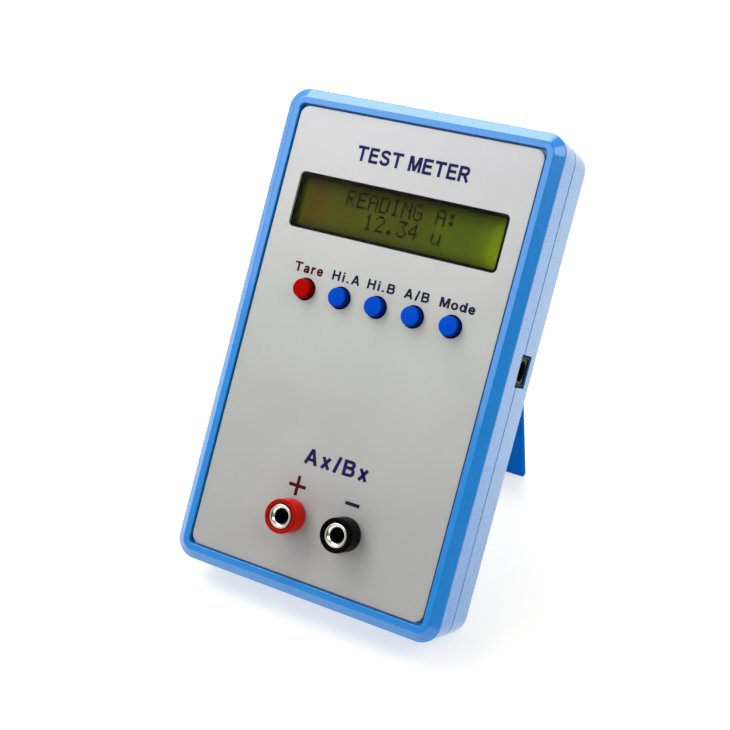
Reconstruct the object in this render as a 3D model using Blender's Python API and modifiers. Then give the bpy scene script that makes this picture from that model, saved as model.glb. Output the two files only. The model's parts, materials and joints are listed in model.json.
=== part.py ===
"""LCR meter: a hand-held battery meter that leans back on its fold-out stand.

The case is modelled lying in its own frame: x to the right, y up the front panel, z out of the front
panel, with z = 0 on the back. The empty "meter" then leans that frame back, so that the case rests on
the flat along its lower back edge and on the foot of the open stand. World origin: the middle of that flat.
Lengths are in millimetres until they reach Blender, which works in metres.
"""
import math

import bmesh
import bpy
from mathutils import Matrix, Vector

MM = 0.001
GAP = 0.3                       # clearance between neighbouring pieces

# How the meter stands
LEAN_DEG = 32.4                 # front panel, back from upright
REST_FLAT_DEPTH = 2.0           # how far the rest flat cuts into the lower back corner

# Case
CASE_W, CASE_H, CASE_T = 86.4, 143.4, 25.5
CASE_RADIUS = 6.2
WALL = 2.0
CHAMFER_W, CHAMFER_D = 2.8, 2.2
SEAM_Z = 13.2                   # top of the rear shell's wall
LIP_HEIGHT, LIP_THICKNESS = 1.7, 0.6
BACK_ROUNDING = 2.0

# Front panel and the deck that carries it
PANEL_W, PANEL_H, PANEL_T = 76.4, 133.3, 1.0
PANEL_RADIUS = 3.0
PANEL_RECESS = 0.6
DECK_T = 2.0

# Display
DISPLAY_Y = 39.4
WINDOW_W, WINDOW_H, WINDOW_RADIUS = 65.8, 16.5, 1.5
WINDOW_INSET = 0.1              # the window's front, below the panel's
LCD_FRAME_W, LCD_FRAME_H, LCD_FRAME_SHEET = 71.2, 25.2, 0.6
LCD_VIEW_W, LCD_VIEW_H = 64.2, 15.2
LCD_GLASS_T = 0.8
LCD_BOARD_W, LCD_BOARD_H, LCD_BOARD_TOP = 80.0, 36.0, 15.6
LCD_HOLE_X, LCD_HOLE_Y = 37.5, 15.5
LINK_LENGTH, LINK_DEPTH, LINK_Y = 40.6, 2.5, (18.2, 25.0)

# Push buttons
BUTTON_MIDDLE_X, BUTTON_PITCH, BUTTON_Y = 1.1, 11.6, 14.3
BUTTON_R, BUTTON_PROUD, BUTTON_EDGE = 3.0, 2.7, 0.55
FLANGE_R, FLANGE_T, FLANGE_SEAT_DEPTH = 4.2, 0.7, 1.2
KEY_SWITCH_W, KEY_SWITCH_T, PLUNGER_R, PLUNGER_TOP = 6.2, 3.5, 1.7, 4.1

# Sockets for 4 mm plugs
SOCKET_X = {"red": -8.4, "black": 9.6}
SOCKET_Y, SOCKET_PROUD = -49.6, 6.7
SOCKET_R, SOCKET_NECK_R, SOCKET_BORE_R = 5.0, 4.3, 2.05
CONTACT_R, CONTACT_MOUTH, CONTACT_BACK_Z, BORE_END_Z = 3.45, 0.6, 18.0, 19.2
TAIL_R, TAIL_END_Z, TAIL_HOLE_R = 1.0, 14.3, 1.3
NUT_R, NUT_T = 7.0, 2.6

# Power inlet on the right side and power switch on the left side
SIDE_PARTS_Y = 7.2
INLET_W, INLET_BOTTOM_Z, INLET_TOP_Z = 8.8, 6.3, 14.7
INLET_DEPTH, INLET_BORE_R, INLET_BORE_DEPTH, INLET_PIN_R, INLET_PIN_INSET = 13.7, 3.0, 9.5, 1.0, 1.2
SLIDER_TRAVEL, SLIDER_W, SLIDER_T, SLIDER_Z, SLIDER_PROUD = 3.5, 3.6, 3.0, 9.8, 1.5
SWITCH_T, SWITCH_HALF_L, SWITCH_LOW_Z = 5.0, 6.5, 7.5

# Circuit board
BOARD_HALF_W, BOARD_LOW_Y, BOARD_HIGH_Y = 39.5, -60.5, 20.5
BOARD_Z, BOARD_T = 15.2, 1.6
BOARD_SCREW_X, BOARD_SCREW_YS = 36.0, (-56.0, -5.0)
SMALL_SCREW_R, SMALL_SCREW_HEAD_R, SMALL_SCREW_HEAD_H = 1.0, 1.8, 1.4
BOARD_SCREW_LENGTH, DISPLAY_SCREW_LENGTH = 5.2, 6.0
BOARD_POST_R, DISPLAY_POST_R = 2.5, 2.2
COIL_FLANGE_R, COIL_WAIST_R, COIL_H = 4.5, 3.4, 8.4

# Batteries, along y, side by side
CELL_R, CELL_BODY, CELL_NUB, CELL_NUB_R, CELL_EDGE = 5.15, 43.0, 1.0, 1.9, 0.5
CELL_COUNT, CELL_PITCH, CELL_Z = 4, 10.9, 7.6
BAY_HALF_W, BAY_LOW_Y, BAY_HIGH_Y, BAY_TOP_Z = 21.9, -41.4, 8.8, 13.1
BAY_WALL = 1.5
PLATE_T, PLATE_REACH, PLATE_Z = 0.5, 4.2, (4.0, 11.0)
SPRING_WIRE_R, SPRING_LENGTH, SPRING_TURNS, SPRING_WIDE_R, SPRING_NARROW_R = 0.35, 3.0, 3, 3.6, 2.4
DOOR_T, DOOR_LEDGE, DOOR_PIN_R, DOOR_PIN_REACH = 1.8, 1.6, 0.6, 1.5
LATCH_HALF_W, LATCH_Y, LATCH_Z = 4.0, (1.9, 3.4), (0.2, 2.5)

# Stand
HINGE_Y, HINGE_Z = 16.2, 2.5
STAND_OPEN_DEG = 56.7
STAND_T = 2.4
STAND_TOP_HALF_W, STAND_FOOT_HALF_W = 37.4, 30.2
STAND_HEEL = 2.7
STAND_BAR_H = 21.0
STAND_WINDOW_HALF_W, STAND_WINDOW_TOP_Y, STAND_WINDOW_RADIUS = 26.2, 12.2, 2.0
BARREL_R, HINGE_PIN_R, HINGE_PIN_REACH = 2.2, 1.2, 2.5
WELL_DEPTH, WELL_FLOOR_TOP, WELL_GAP = 3.0, 5.2, 0.4
GROOVE_TOP_Z, HINGE_BLOCK_TOP_Z, HINGE_BLOCK_LOW_Y = 5.6, 7.2, 12.3
FOOT_GRIP_R, FOOT_GRIP_HALF_W = 3.0, 8.0

# Case screws
CASE_SCREW_X, CASE_SCREW_Y = 36.0, 64.5
POST_R, SCREW_HEAD_R, SCREW_HEAD_H, SCREW_SHANK_R = 3.4, 2.7, 2.0, 1.25
SCREW_SEAT_Z, SCREW_LENGTH = 2.5, 16.0

# Heights that follow from the sizes above
RIM_Z = CASE_T
PANEL_Z = RIM_Z - PANEL_RECESS - PANEL_T
DECK_TOP = PANEL_Z - GAP
DECK_UNDER = DECK_TOP - DECK_T
BOARD_TOP = BOARD_Z + BOARD_T
FRONT_SEAM_Z = SEAM_Z + GAP
LEAN = math.radians(LEAN_DEG)
OPEN = math.radians(STAND_OPEN_DEG)
FLAT_UP_WALL = REST_FLAT_DEPTH / math.sin(LEAN)
FLAT_INTO_BACK = REST_FLAT_DEPTH / math.cos(LEAN)
FLAT_Y = -CASE_H / 2 + FLAT_INTO_BACK / 2
FLAT_Z = FLAT_UP_WALL / 2
HINGE_HEIGHT = (HINGE_Y - FLAT_Y) * math.cos(LEAN) + (HINGE_Z - FLAT_Z) * math.sin(LEAN)
STAND_LENGTH = HINGE_HEIGHT / math.cos(OPEN - LEAN)
WELL_END_Y = HINGE_Y - STAND_LENGTH - BARREL_R * math.tan(OPEN - LEAN) - WELL_GAP
GROOVE_TOP_Y = HINGE_Y + STAND_HEEL + 1.1


def clear_scene():
    for old in list(bpy.data.objects):
        bpy.data.objects.remove(old, do_unlink=True)


def new_collection(name):
    collection = bpy.data.collections.new(name)
    bpy.context.scene.collection.children.link(collection)
    return collection


def linear(value):
    """One sRGB channel, 0 to 255, as the linear value that a Principled BSDF takes."""
    v = value / 255
    return v / 12.92 if v <= 0.04045 else ((v + 0.055) / 1.055) ** 2.4


def material(name, rgb, roughness=0.5, metallic=0.0, alpha=1.0):
    mat = bpy.data.materials.get(name)
    if mat:
        return mat
    mat = bpy.data.materials.new(name)
    mat.use_nodes = True
    shader = mat.node_tree.nodes["Principled BSDF"]
    shader.inputs["Base Color"].default_value = (*[linear(c) for c in rgb], 1)
    shader.inputs["Roughness"].default_value = roughness
    shader.inputs["Metallic"].default_value = metallic
    shader.inputs["Alpha"].default_value = alpha
    return mat


clear_scene()
PARTS = new_collection("lcr_meter")
CUTTERS = new_collection("cutters")

METER = bpy.data.objects.new("meter", None)
PARTS.objects.link(METER)
METER.rotation_euler.x = math.pi / 2 - LEAN
METER.location = -(Matrix.Rotation(math.pi / 2 - LEAN, 3, "X") @ Vector((0, FLAT_Y, FLAT_Z))) * MM

CASE_BLUE = material("case_blue", (38, 125, 205), 0.35)
BACK_BLUE = material("back_blue", (60, 140, 215), 0.35)
STAND_BLUE = material("stand_blue", (0, 85, 175), 0.4)
SILVER = material("silver_panel", (205, 205, 207), 0.45, 0.3)
CLEAR = material("clear_window", (30, 34, 30), 0.08, 0.0, 0.35)
BLACK = material("black_plastic", (18, 18, 19), 0.4)
BLACK_METAL = material("black_frame", (22, 22, 24), 0.45, 0.6)
OLIVE = material("display_green", (84, 96, 30), 0.2)
MILKY = material("light_guide", (215, 225, 190), 0.3)
BOARD_GREEN = material("board_green", (20, 92, 48), 0.45)
RED = material("red_plastic", (196, 22, 12), 0.3)
BLUE = material("button_blue", (12, 78, 200), 0.3)
NICKEL = material("nickel", (200, 198, 192), 0.2, 1.0)
STEEL = material("steel", (150, 152, 155), 0.3, 1.0)
COPPER = material("copper_wire", (150, 78, 40), 0.35, 0.8)
CELL_WRAP = material("cell_wrap", (60, 62, 68), 0.3, 0.4)


def add_object(name, mesh, mat, at=(0, 0, 0), parent=METER):
    """A visible part when it has a material, or a cutter when it has none."""
    obj = bpy.data.objects.new(name, mesh)
    (PARTS if mat else CUTTERS).objects.link(obj)
    obj.parent = parent
    obj.location = Vector(at) * MM
    if mat:
        mesh.materials.append(mat)
    else:
        obj.hide_render = True
        obj.display_type = "WIRE"
    return obj


def finish_mesh(name, bm):
    mesh = bpy.data.meshes.new(name)
    bm.to_mesh(mesh)
    bm.free()
    mesh.shade_smooth()
    mesh.set_sharp_from_angle(angle=math.radians(32))
    return mesh


def box_mesh(size, radius=0.0, segments=5):
    """A box about the origin, its upright edges rounded."""
    bm = bmesh.new()
    bmesh.ops.create_cube(bm, size=1)
    bmesh.ops.scale(bm, vec=Vector(size) * MM, verts=bm.verts)
    if radius:
        upright = [e for e in bm.edges if abs(e.verts[0].co.z - e.verts[1].co.z) > MM * size[2] / 2]
        bmesh.ops.bevel(bm, geom=upright, offset=radius * MM, segments=segments, profile=0.5, affect="EDGES")
    return bm


def box(name, mat, x, y, z, radius=0.0, segments=5, parent=METER):
    """A box from its low and high limits along each axis."""
    size = [high - low for low, high in (x, y, z)]
    middle = [(low + high) / 2 for low, high in (x, y, z)]
    return add_object(name, finish_mesh(name, box_mesh(size, radius, segments)), mat, middle, parent)


def rod(name, mat, radius, at, reach, axis="Z", sides=20, parent=METER):
    """A round bar on an axis through the point at, from reach[0] to reach[1] along that axis."""
    bm = bmesh.new()
    bmesh.ops.create_cone(bm, cap_ends=True, segments=sides, radius1=radius * MM, radius2=radius * MM,
                          depth=(reach[1] - reach[0]) * MM)
    bmesh.ops.translate(bm, vec=(0, 0, (reach[0] + reach[1]) / 2 * MM), verts=bm.verts)
    turn = {"Z": Matrix.Identity(3), "X": Matrix.Rotation(math.pi / 2, 3, "Y"),
            "Y": Matrix.Rotation(-math.pi / 2, 3, "X")}[axis]
    bmesh.ops.rotate(bm, cent=(0, 0, 0), matrix=turn, verts=bm.verts)
    return add_object(name, finish_mesh(name, bm), mat, at, parent)


def turned(name, mat, profile, at, sides=24, closed=False, parent=METER):
    """A turned piece: (radius, height) points that run down the outer side, spun about z."""
    mesh = bpy.data.meshes.new(name)
    count = len(profile)
    edges = [(i, (i + 1) % count) for i in range(count if closed else count - 1)]
    mesh.from_pydata([(r * MM, 0, z * MM) for r, z in profile], edges, [])
    obj = add_object(name, mesh, mat, at, parent)
    screw = obj.modifiers.new("spin", "SCREW")
    screw.steps = screw.render_steps = sides
    screw.use_merge_vertices = True
    screw.merge_threshold = 0.00001
    screw.use_smooth_shade = True
    return obj


def boolean(target, tool, operation):
    step = target.modifiers.new(tool.name, "BOOLEAN")
    step.operation = operation
    step.solver = "EXACT"
    step.object = tool


def cut(target, *tools):
    for tool in tools:
        boolean(target, tool, "DIFFERENCE")


def fuse(target, *tools):
    for tool in tools:
        boolean(target, tool, "UNION")


def centred(half):
    return (-half, half)


def around(middle, half):
    return (middle - half, middle + half)


def four_corners(x, y):
    return [(sx * x, sy * y) for sx in (-1, 1) for sy in (-1, 1)]


# Shared cutters: each one makes a matching hole in every piece that it passes through.

def side_cutters():
    inlet_hole = box("inlet_hole", None, (40, 44), around(SIDE_PARTS_Y, INLET_W / 2 + GAP),
                     (INLET_BOTTOM_Z - GAP, INLET_TOP_Z + GAP))
    slider_slot = box("slider_slot", None, (-44, -40),
                      around(SIDE_PARTS_Y, (SLIDER_W + SLIDER_TRAVEL) / 2 + GAP),
                      around(SLIDER_Z, SLIDER_T / 2 + GAP))
    return inlet_hole, slider_slot


def floor_cutter():
    """Everything under the floor, in world axes: it trims the rest flat and the stand's foot."""
    return box("floor", None, centred(60), (-30, 110), (-30, 0), parent=None)


def button_places():
    return [(BUTTON_MIDDLE_X + (i - 2) * BUTTON_PITCH, BUTTON_Y) for i in range(5)]


def button_holes():
    return [rod(f"button_hole_{i}", None, BUTTON_R + GAP, (x, y, 0), (DECK_UNDER - 1, RIM_Z + 1), sides=24)
            for i, (x, y) in enumerate(button_places(), 1)]


def socket_holes():
    return [rod(f"{colour}_socket_hole", None, SOCKET_NECK_R + GAP, (x, SOCKET_Y, 0),
                (DECK_UNDER - 1, RIM_Z + 1), sides=24) for colour, x in SOCKET_X.items()]


def front_shell(openings):
    """Chamfered rim, side walls down to the seam, and the deck under the panel with its posts."""
    height = RIM_Z - CHAMFER_D - FRONT_SEAM_Z
    bm = box_mesh((CASE_W, CASE_H, height), CASE_RADIUS, 8)
    top = max(bm.faces, key=lambda f: f.calc_center_median().z)
    bmesh.ops.inset_region(bm, faces=[top], thickness=CHAMFER_W * MM, depth=CHAMFER_D * MM,
                           use_even_offset=True)
    shell = add_object("front_shell", finish_mesh("front_shell", bm), CASE_BLUE,
                       (0, 0, FRONT_SEAM_Z + height / 2))
    inner_x, inner_y = CASE_W / 2 - WALL, CASE_H / 2 - WALL
    step = LIP_THICKNESS + GAP
    cut(shell,
        box("panel_pocket", None, centred(PANEL_W / 2 + GAP), centred(PANEL_H / 2 + GAP),
            (DECK_TOP, RIM_Z + 1), PANEL_RADIUS + GAP),
        box("front_hollow", None, centred(inner_x), centred(inner_y), (FRONT_SEAM_Z - 1, DECK_UNDER),
            CASE_RADIUS - WALL),
        box("lip_groove", None, centred(inner_x + step), centred(inner_y + step),
            (FRONT_SEAM_Z - 1, SEAM_Z + LIP_HEIGHT + GAP), CASE_RADIUS - WALL + step),
        box("lcd_opening", None, centred(LCD_FRAME_W / 2 + GAP), around(DISPLAY_Y, LCD_FRAME_H / 2 + GAP),
            (DECK_UNDER - 1, DECK_TOP + 1)),
        *openings)
    for i, (x, y) in enumerate(button_places(), 1):
        cut(shell, rod(f"button_seat_{i}", None, FLANGE_R + 0.4, (x, y, 0),
                       (DECK_UNDER - 1, DECK_UNDER + FLANGE_SEAT_DEPTH)))
    posts = [(x, y, POST_R, FRONT_SEAM_Z, SCREW_SHANK_R) for x, y in four_corners(CASE_SCREW_X, CASE_SCREW_Y)]
    posts += [(x, y, BOARD_POST_R, BOARD_TOP + GAP, SMALL_SCREW_R)
              for x in centred(BOARD_SCREW_X) for y in BOARD_SCREW_YS]
    posts += [(x, DISPLAY_Y + y, DISPLAY_POST_R, LCD_BOARD_TOP + GAP, SMALL_SCREW_R)
              for x, y in four_corners(LCD_HOLE_X, LCD_HOLE_Y)]
    for i, (x, y, radius, low, shank) in enumerate(posts, 1):
        fuse(shell, rod(f"front_post_{i}", None, radius, (x, y, 0), (low, DECK_UNDER + 0.8), sides=16))
        cut(shell, rod(f"front_post_hole_{i}", None, shank + GAP, (x, y, 0),
                       (low - 1, DECK_UNDER - 0.4), sides=12))
    return shell


def stand_outline(name, mat, parent, grow, y, z, hinge_y=0):
    """A plate that narrows from the hinge to the foot, widened by grow on each side. y is from the hinge."""
    slope = (STAND_TOP_HALF_W - STAND_FOOT_HALF_W) / (STAND_LENGTH + STAND_HEEL)
    bm = bmesh.new()
    bmesh.ops.create_cube(bm, size=1)
    for vert in bm.verts:
        along = y[1] if vert.co.y > 0 else y[0]
        half = STAND_TOP_HALF_W - slope * (STAND_HEEL - min(along, STAND_HEEL)) + grow
        height = z[1] if vert.co.z > 0 else z[0]
        vert.co = Vector((math.copysign(half, vert.co.x), along, height)) * MM
    return add_object(name, finish_mesh(name, bm), mat, (0, hinge_y, 0), parent)


def rear_shell(side_openings, floor):
    """Back and side walls, the battery bay, the well that the folded stand lies in, and the screw posts."""
    bm = box_mesh((CASE_W, CASE_H, SEAM_Z), CASE_RADIUS, 8)
    back = min(bm.faces, key=lambda f: f.calc_center_median().z)
    bmesh.ops.bevel(bm, geom=list(back.edges), offset=BACK_ROUNDING * MM, segments=2, profile=0.5,
                    affect="EDGES")
    shell = add_object("rear_shell", finish_mesh("rear_shell", bm), BACK_BLUE, (0, 0, SEAM_Z / 2))
    inner_x, inner_y = CASE_W / 2 - WALL, CASE_H / 2 - WALL
    fuse(shell, box("lip", None, centred(inner_x + LIP_THICKNESS), centred(inner_y + LIP_THICKNESS),
                    (SEAM_Z - 1.2, SEAM_Z + LIP_HEIGHT), CASE_RADIUS - WALL + LIP_THICKNESS))
    cut(shell, box("rear_hollow", None, centred(inner_x), centred(inner_y), (WALL, CASE_T),
                   CASE_RADIUS - WALL))
    fuse(shell,
         box("well_floor", None, centred(inner_x + 0.5), (-inner_y - 0.5, GROOVE_TOP_Y + 2.5),
             (1, WELL_FLOOR_TOP), CASE_RADIUS - WALL + 0.5, 8),
         box("hinge_block", None, centred(inner_x + 0.4), (HINGE_BLOCK_LOW_Y, GROOVE_TOP_Y + 2.4),
             (1.2, HINGE_BLOCK_TOP_Z)))
    cut(shell,
        stand_outline("stand_well", None, METER, WELL_GAP, (WELL_END_Y - HINGE_Y, GROOVE_TOP_Y - HINGE_Y),
                      (-1, WELL_DEPTH), HINGE_Y),
        box("hinge_groove", None, centred(STAND_TOP_HALF_W + WELL_GAP), (HINGE_Y - 3, GROOVE_TOP_Y),
            (-1.2, GROOVE_TOP_Z)),
        rod("hinge_pin_hole", None, HINGE_PIN_R + GAP, (0, HINGE_Y, HINGE_Z),
            centred(STAND_TOP_HALF_W + HINGE_PIN_REACH + GAP), "X", 16))
    island_low_y = HINGE_Y - STAND_LENGTH + STAND_BAR_H + WELL_GAP
    fuse(shell,
         box("well_island", None, centred(STAND_WINDOW_HALF_W - WELL_GAP),
             (island_low_y, STAND_WINDOW_TOP_Y - WELL_GAP), (0, WELL_FLOOR_TOP - 0.7),
             STAND_WINDOW_RADIUS - WELL_GAP, 3),
         box("bay_walls", None, centred(BAY_HALF_W + BAY_WALL),
             (BAY_LOW_Y - BAY_WALL, BAY_HIGH_Y + BAY_WALL), (2.4, BAY_TOP_Z + 1.0)))
    for i, (x, y) in enumerate(four_corners(CASE_SCREW_X, CASE_SCREW_Y), 1):
        fuse(shell, rod(f"rear_post_{i}", None, POST_R, (x, y, 0), (1, SEAM_Z), sides=16))
        bearing_z = SCREW_SEAT_Z + GAP
        profile = [(0, SEAM_Z + 1), (SCREW_SHANK_R + GAP, SEAM_Z + 1), (SCREW_SHANK_R + GAP, bearing_z),
                   (SCREW_HEAD_R + GAP, bearing_z), (SCREW_HEAD_R + GAP, -1), (0, -1)]
        cut(shell, turned(f"screw_hole_{i}", None, profile, (x, y, 0), 16))
    seat_x = BAY_HALF_W + DOOR_LEDGE
    cut(shell,
        box("door_seat", None, centred(seat_x), (BAY_LOW_Y - DOOR_LEDGE, BAY_HIGH_Y + DOOR_LEDGE),
            (-1, DOOR_T + GAP)),
        box("bay", None, centred(BAY_HALF_W), (BAY_LOW_Y, BAY_HIGH_Y), (-1, BAY_TOP_Z)),
        rod("door_pin_slot", None, DOOR_T / 2 + 0.1, (0, BAY_LOW_Y - 0.4, DOOR_T / 2),
            centred(seat_x + DOOR_PIN_REACH), "X", 12),
        rod("foot_grip", None, FOOT_GRIP_R, (0, WELL_END_Y - 0.6, -1.0), centred(FOOT_GRIP_HALF_W), "X", 16),
        *side_openings, floor)
    return shell


def front_panel(openings):
    panel = box("front_panel", SILVER, centred(PANEL_W / 2), centred(PANEL_H / 2),
                (PANEL_Z, PANEL_Z + PANEL_T), PANEL_RADIUS)
    window = box("window_opening", None, centred(WINDOW_W / 2), around(DISPLAY_Y, WINDOW_H / 2),
                 (PANEL_Z - 1, RIM_Z + 1), WINDOW_RADIUS, 3)
    cut(panel, window, *openings)
    return panel


def display():
    """Window in the panel, and the display module behind it: frame, glass, light guide and board."""
    box("display_window", CLEAR, centred(WINDOW_W / 2 - GAP), around(DISPLAY_Y, WINDOW_H / 2 - GAP),
        (PANEL_Z, PANEL_Z + PANEL_T - WINDOW_INSET), WINDOW_RADIUS - GAP, 3)
    frame_top = DECK_TOP - 0.1
    frame = box("lcd_frame", BLACK_METAL, centred(LCD_FRAME_W / 2), around(DISPLAY_Y, LCD_FRAME_H / 2),
                (LCD_BOARD_TOP + GAP, frame_top))
    inner_w, inner_h = LCD_FRAME_W / 2 - LCD_FRAME_SHEET, LCD_FRAME_H / 2 - LCD_FRAME_SHEET
    cut(frame,
        box("lcd_frame_hollow", None, centred(inner_w), around(DISPLAY_Y, inner_h),
            (LCD_BOARD_TOP - 1, frame_top - LCD_FRAME_SHEET)),
        box("lcd_view", None, centred(LCD_VIEW_W / 2), around(DISPLAY_Y, LCD_VIEW_H / 2),
            (frame_top - 2, frame_top + 1)))
    glass_top = frame_top - LCD_FRAME_SHEET - GAP
    glass_under = glass_top - LCD_GLASS_T
    inside = (centred(inner_w - GAP), around(DISPLAY_Y, inner_h - GAP))
    box("lcd_glass", OLIVE, *inside, (glass_under, glass_top))
    box("lcd_light_guide", MILKY, *inside, (LCD_BOARD_TOP + GAP, glass_under - GAP))
    board = box("lcd_board", BOARD_GREEN, centred(LCD_BOARD_W / 2), around(DISPLAY_Y, LCD_BOARD_H / 2),
                (LCD_BOARD_TOP - BOARD_T, LCD_BOARD_TOP))
    for i, (x, y) in enumerate(four_corners(LCD_HOLE_X, LCD_HOLE_Y), 1):
        cut(board, rod(f"lcd_hole_{i}", None, SMALL_SCREW_R + GAP, (x, DISPLAY_Y + y, 0), (10, 20), sides=12))
    link_top = LCD_BOARD_TOP - BOARD_T - GAP
    box("lcd_link", BLACK, centred(LINK_LENGTH / 2), LINK_Y, (link_top - LINK_DEPTH, link_top))
    for i, (x, y) in enumerate(((-LCD_HOLE_X, LCD_HOLE_Y), (LCD_HOLE_X, -LCD_HOLE_Y)), 1):
        small_screw(f"display_screw_{i}", (x, DISPLAY_Y + y, link_top), DISPLAY_SCREW_LENGTH)


def screw(name, seat, head_r, head_h, shank_r, length):
    """A pan-head screw whose head bears on the point seat and whose shank points to the front."""
    profile = [(0, length), (shank_r * 0.6, length), (shank_r, length - shank_r), (shank_r, 0), (head_r, 0),
               (head_r, -head_h * 0.6), (head_r * 0.75, -head_h), (0, -head_h)]
    return turned(name, STEEL, profile, seat, 14)


def small_screw(name, seat, length):
    screw(name, seat, SMALL_SCREW_HEAD_R, SMALL_SCREW_HEAD_H, SMALL_SCREW_R, length)


def buttons():
    """Caps that slide in through the panel. Each has a flange that keeps it behind the deck."""
    top = RIM_Z - PANEL_RECESS + BUTTON_PROUD
    flange_z = DECK_UNDER + 0.1
    names = ["zero_button"] + [f"button_{i}" for i in range(2, 6)]
    for name, (x, y) in zip(names, button_places()):
        corner = BUTTON_EDGE * (1 - math.sqrt(0.5))
        profile = [(0, top), (BUTTON_R - BUTTON_EDGE, top), (BUTTON_R - corner, top - corner),
                   (BUTTON_R, top - BUTTON_EDGE), (BUTTON_R, flange_z + FLANGE_T),
                   (FLANGE_R, flange_z + FLANGE_T), (FLANGE_R, flange_z), (0, flange_z)]
        turned(name, RED if name == "zero_button" else BLUE, [(r, z - flange_z) for r, z in profile],
               (x, y, flange_z), 24)


def key_switches():
    """A square switch body under each cap, with a round plunger."""
    for i, (x, y) in enumerate(button_places(), 1):
        body = box(f"key_switch_{i}", BLACK, around(x, KEY_SWITCH_W / 2), around(y, KEY_SWITCH_W / 2),
                   (BOARD_TOP + GAP, BOARD_TOP + KEY_SWITCH_T))
        fuse(body, rod(f"plunger_{i}", None, PLUNGER_R, (x, y, 0),
                       (BOARD_TOP + KEY_SWITCH_T - 0.5, BOARD_TOP + PLUNGER_TOP), sides=12))


def socket(colour, mat):
    """Insulated socket: plastic body through the panel, nickel contact inside it, nut behind the deck."""
    x = SOCKET_X[colour]
    face = RIM_Z - PANEL_RECESS
    front = face + SOCKET_PROUD
    bore = CONTACT_R + GAP
    back = DECK_UNDER - NUT_T - 2 * GAP
    turned(f"{colour}_socket_body", mat,
           [(bore, front), (SOCKET_R - 0.5, front), (SOCKET_R, front - 0.5), (SOCKET_R, face + GAP),
            (SOCKET_NECK_R, face + GAP), (SOCKET_NECK_R, back), (bore, back)],
           (x, SOCKET_Y, 0), 28, closed=True)
    turned(f"{colour}_socket_contact", NICKEL,
           [(0, BORE_END_Z), (SOCKET_BORE_R, BORE_END_Z), (SOCKET_BORE_R, front - GAP - CONTACT_MOUTH),
            (SOCKET_BORE_R + CONTACT_MOUTH, front - GAP), (CONTACT_R, front - GAP),
            (CONTACT_R, CONTACT_BACK_Z), (TAIL_R, CONTACT_BACK_Z), (TAIL_R, TAIL_END_Z), (0, TAIL_END_Z)],
           (x, SOCKET_Y, 0), 24)
    nut = rod(f"{colour}_socket_nut", STEEL, NUT_R, (x, SOCKET_Y, 0), (back + GAP, DECK_UNDER - GAP), sides=6)
    cut(nut, rod(f"{colour}_nut_bore", None, SOCKET_NECK_R + GAP, (x, SOCKET_Y, 0), (10, 30), sides=24))


def main_board():
    board = box("main_board", BOARD_GREEN, centred(BOARD_HALF_W), (BOARD_LOW_Y, BOARD_HIGH_Y),
                (BOARD_Z, BOARD_TOP))
    for colour, x in SOCKET_X.items():
        cut(board, rod(f"{colour}_tail_hole", None, TAIL_HOLE_R, (x, SOCKET_Y, 0), (10, 20), sides=12))
    places = [(x, y) for x in centred(BOARD_SCREW_X) for y in BOARD_SCREW_YS]
    for i, (x, y) in enumerate(places, 1):
        cut(board, rod(f"board_hole_{i}", None, SMALL_SCREW_R + GAP, (x, y, 0), (10, 20), sides=12))
        small_screw(f"board_screw_{i}", (x, y, BOARD_Z - GAP), BOARD_SCREW_LENGTH)


def circuit_parts():
    front = BOARD_TOP + GAP
    rear = BOARD_Z - GAP
    box("controller_chip", BLACK, centred(17.4), around(-12, 3.5), (front, front + 3.5))
    box("oscillator_chip", BLACK, around(-14, 4.9), around(-31, 3.2), (front, front + 3.3))
    box("crystal_can", NICKEL, around(14, 5.5), around(-31, 2.3), (front, front + 3.5), 2.2, 4)
    box("range_relay", BLACK, around(31, 5.0), around(-28, 7.5), (rear - 9.0, rear))
    drop = [(0, 0), (COIL_FLANGE_R, 0), (COIL_FLANGE_R, 1.2), (COIL_WAIST_R, 1.8),
            (COIL_WAIST_R, COIL_H - 1.8), (COIL_FLANGE_R, COIL_H - 1.2), (COIL_FLANGE_R, COIL_H), (0, COIL_H)]
    turned("reference_coil", COPPER, [(r, rear - d) for r, d in drop], (-31, -28, 0), 20)


def power_inlet():
    """Square-faced barrel inlet, flush with the right side, with its centre pin."""
    middle_z = (INLET_BOTTOM_Z + INLET_TOP_Z) / 2
    face_x = CASE_W / 2 - GAP
    inlet = box("power_inlet", BLACK, (face_x - INLET_DEPTH, face_x), around(SIDE_PARTS_Y, INLET_W / 2),
                (INLET_BOTTOM_Z, INLET_TOP_Z))
    place = (face_x, SIDE_PARTS_Y, middle_z)
    cut(inlet, rod("inlet_bore", None, INLET_BORE_R, place, (-INLET_BORE_DEPTH, 1), "X", 24))
    pin_reach = (-INLET_BORE_DEPTH - 1, -INLET_PIN_INSET)
    fuse(inlet, rod("inlet_pin", None, INLET_PIN_R, place, pin_reach, "X", 12))


def power_switch():
    """Slide switch behind the left side; its slider sticks out through a slot and moves along y."""
    half_slot = (SLIDER_W + SLIDER_TRAVEL) / 2 + GAP
    inner_x = -(CASE_W / 2 - WALL - GAP)
    body = box("power_switch", BLACK, (inner_x, inner_x + SWITCH_T), around(SIDE_PARTS_Y, SWITCH_HALF_L),
               (SWITCH_LOW_Z, BOARD_Z - GAP))
    cut(body, box("switch_slot", None, (inner_x - 1, inner_x + 3.0), around(SIDE_PARTS_Y, half_slot),
                  around(SLIDER_Z, SLIDER_T / 2 + GAP)))
    on_y = SIDE_PARTS_Y + SLIDER_TRAVEL / 2
    box("power_slider", BLACK, (-CASE_W / 2 - SLIDER_PROUD, inner_x + 2.5), around(on_y, SLIDER_W / 2),
        around(SLIDER_Z, SLIDER_T / 2))


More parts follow.
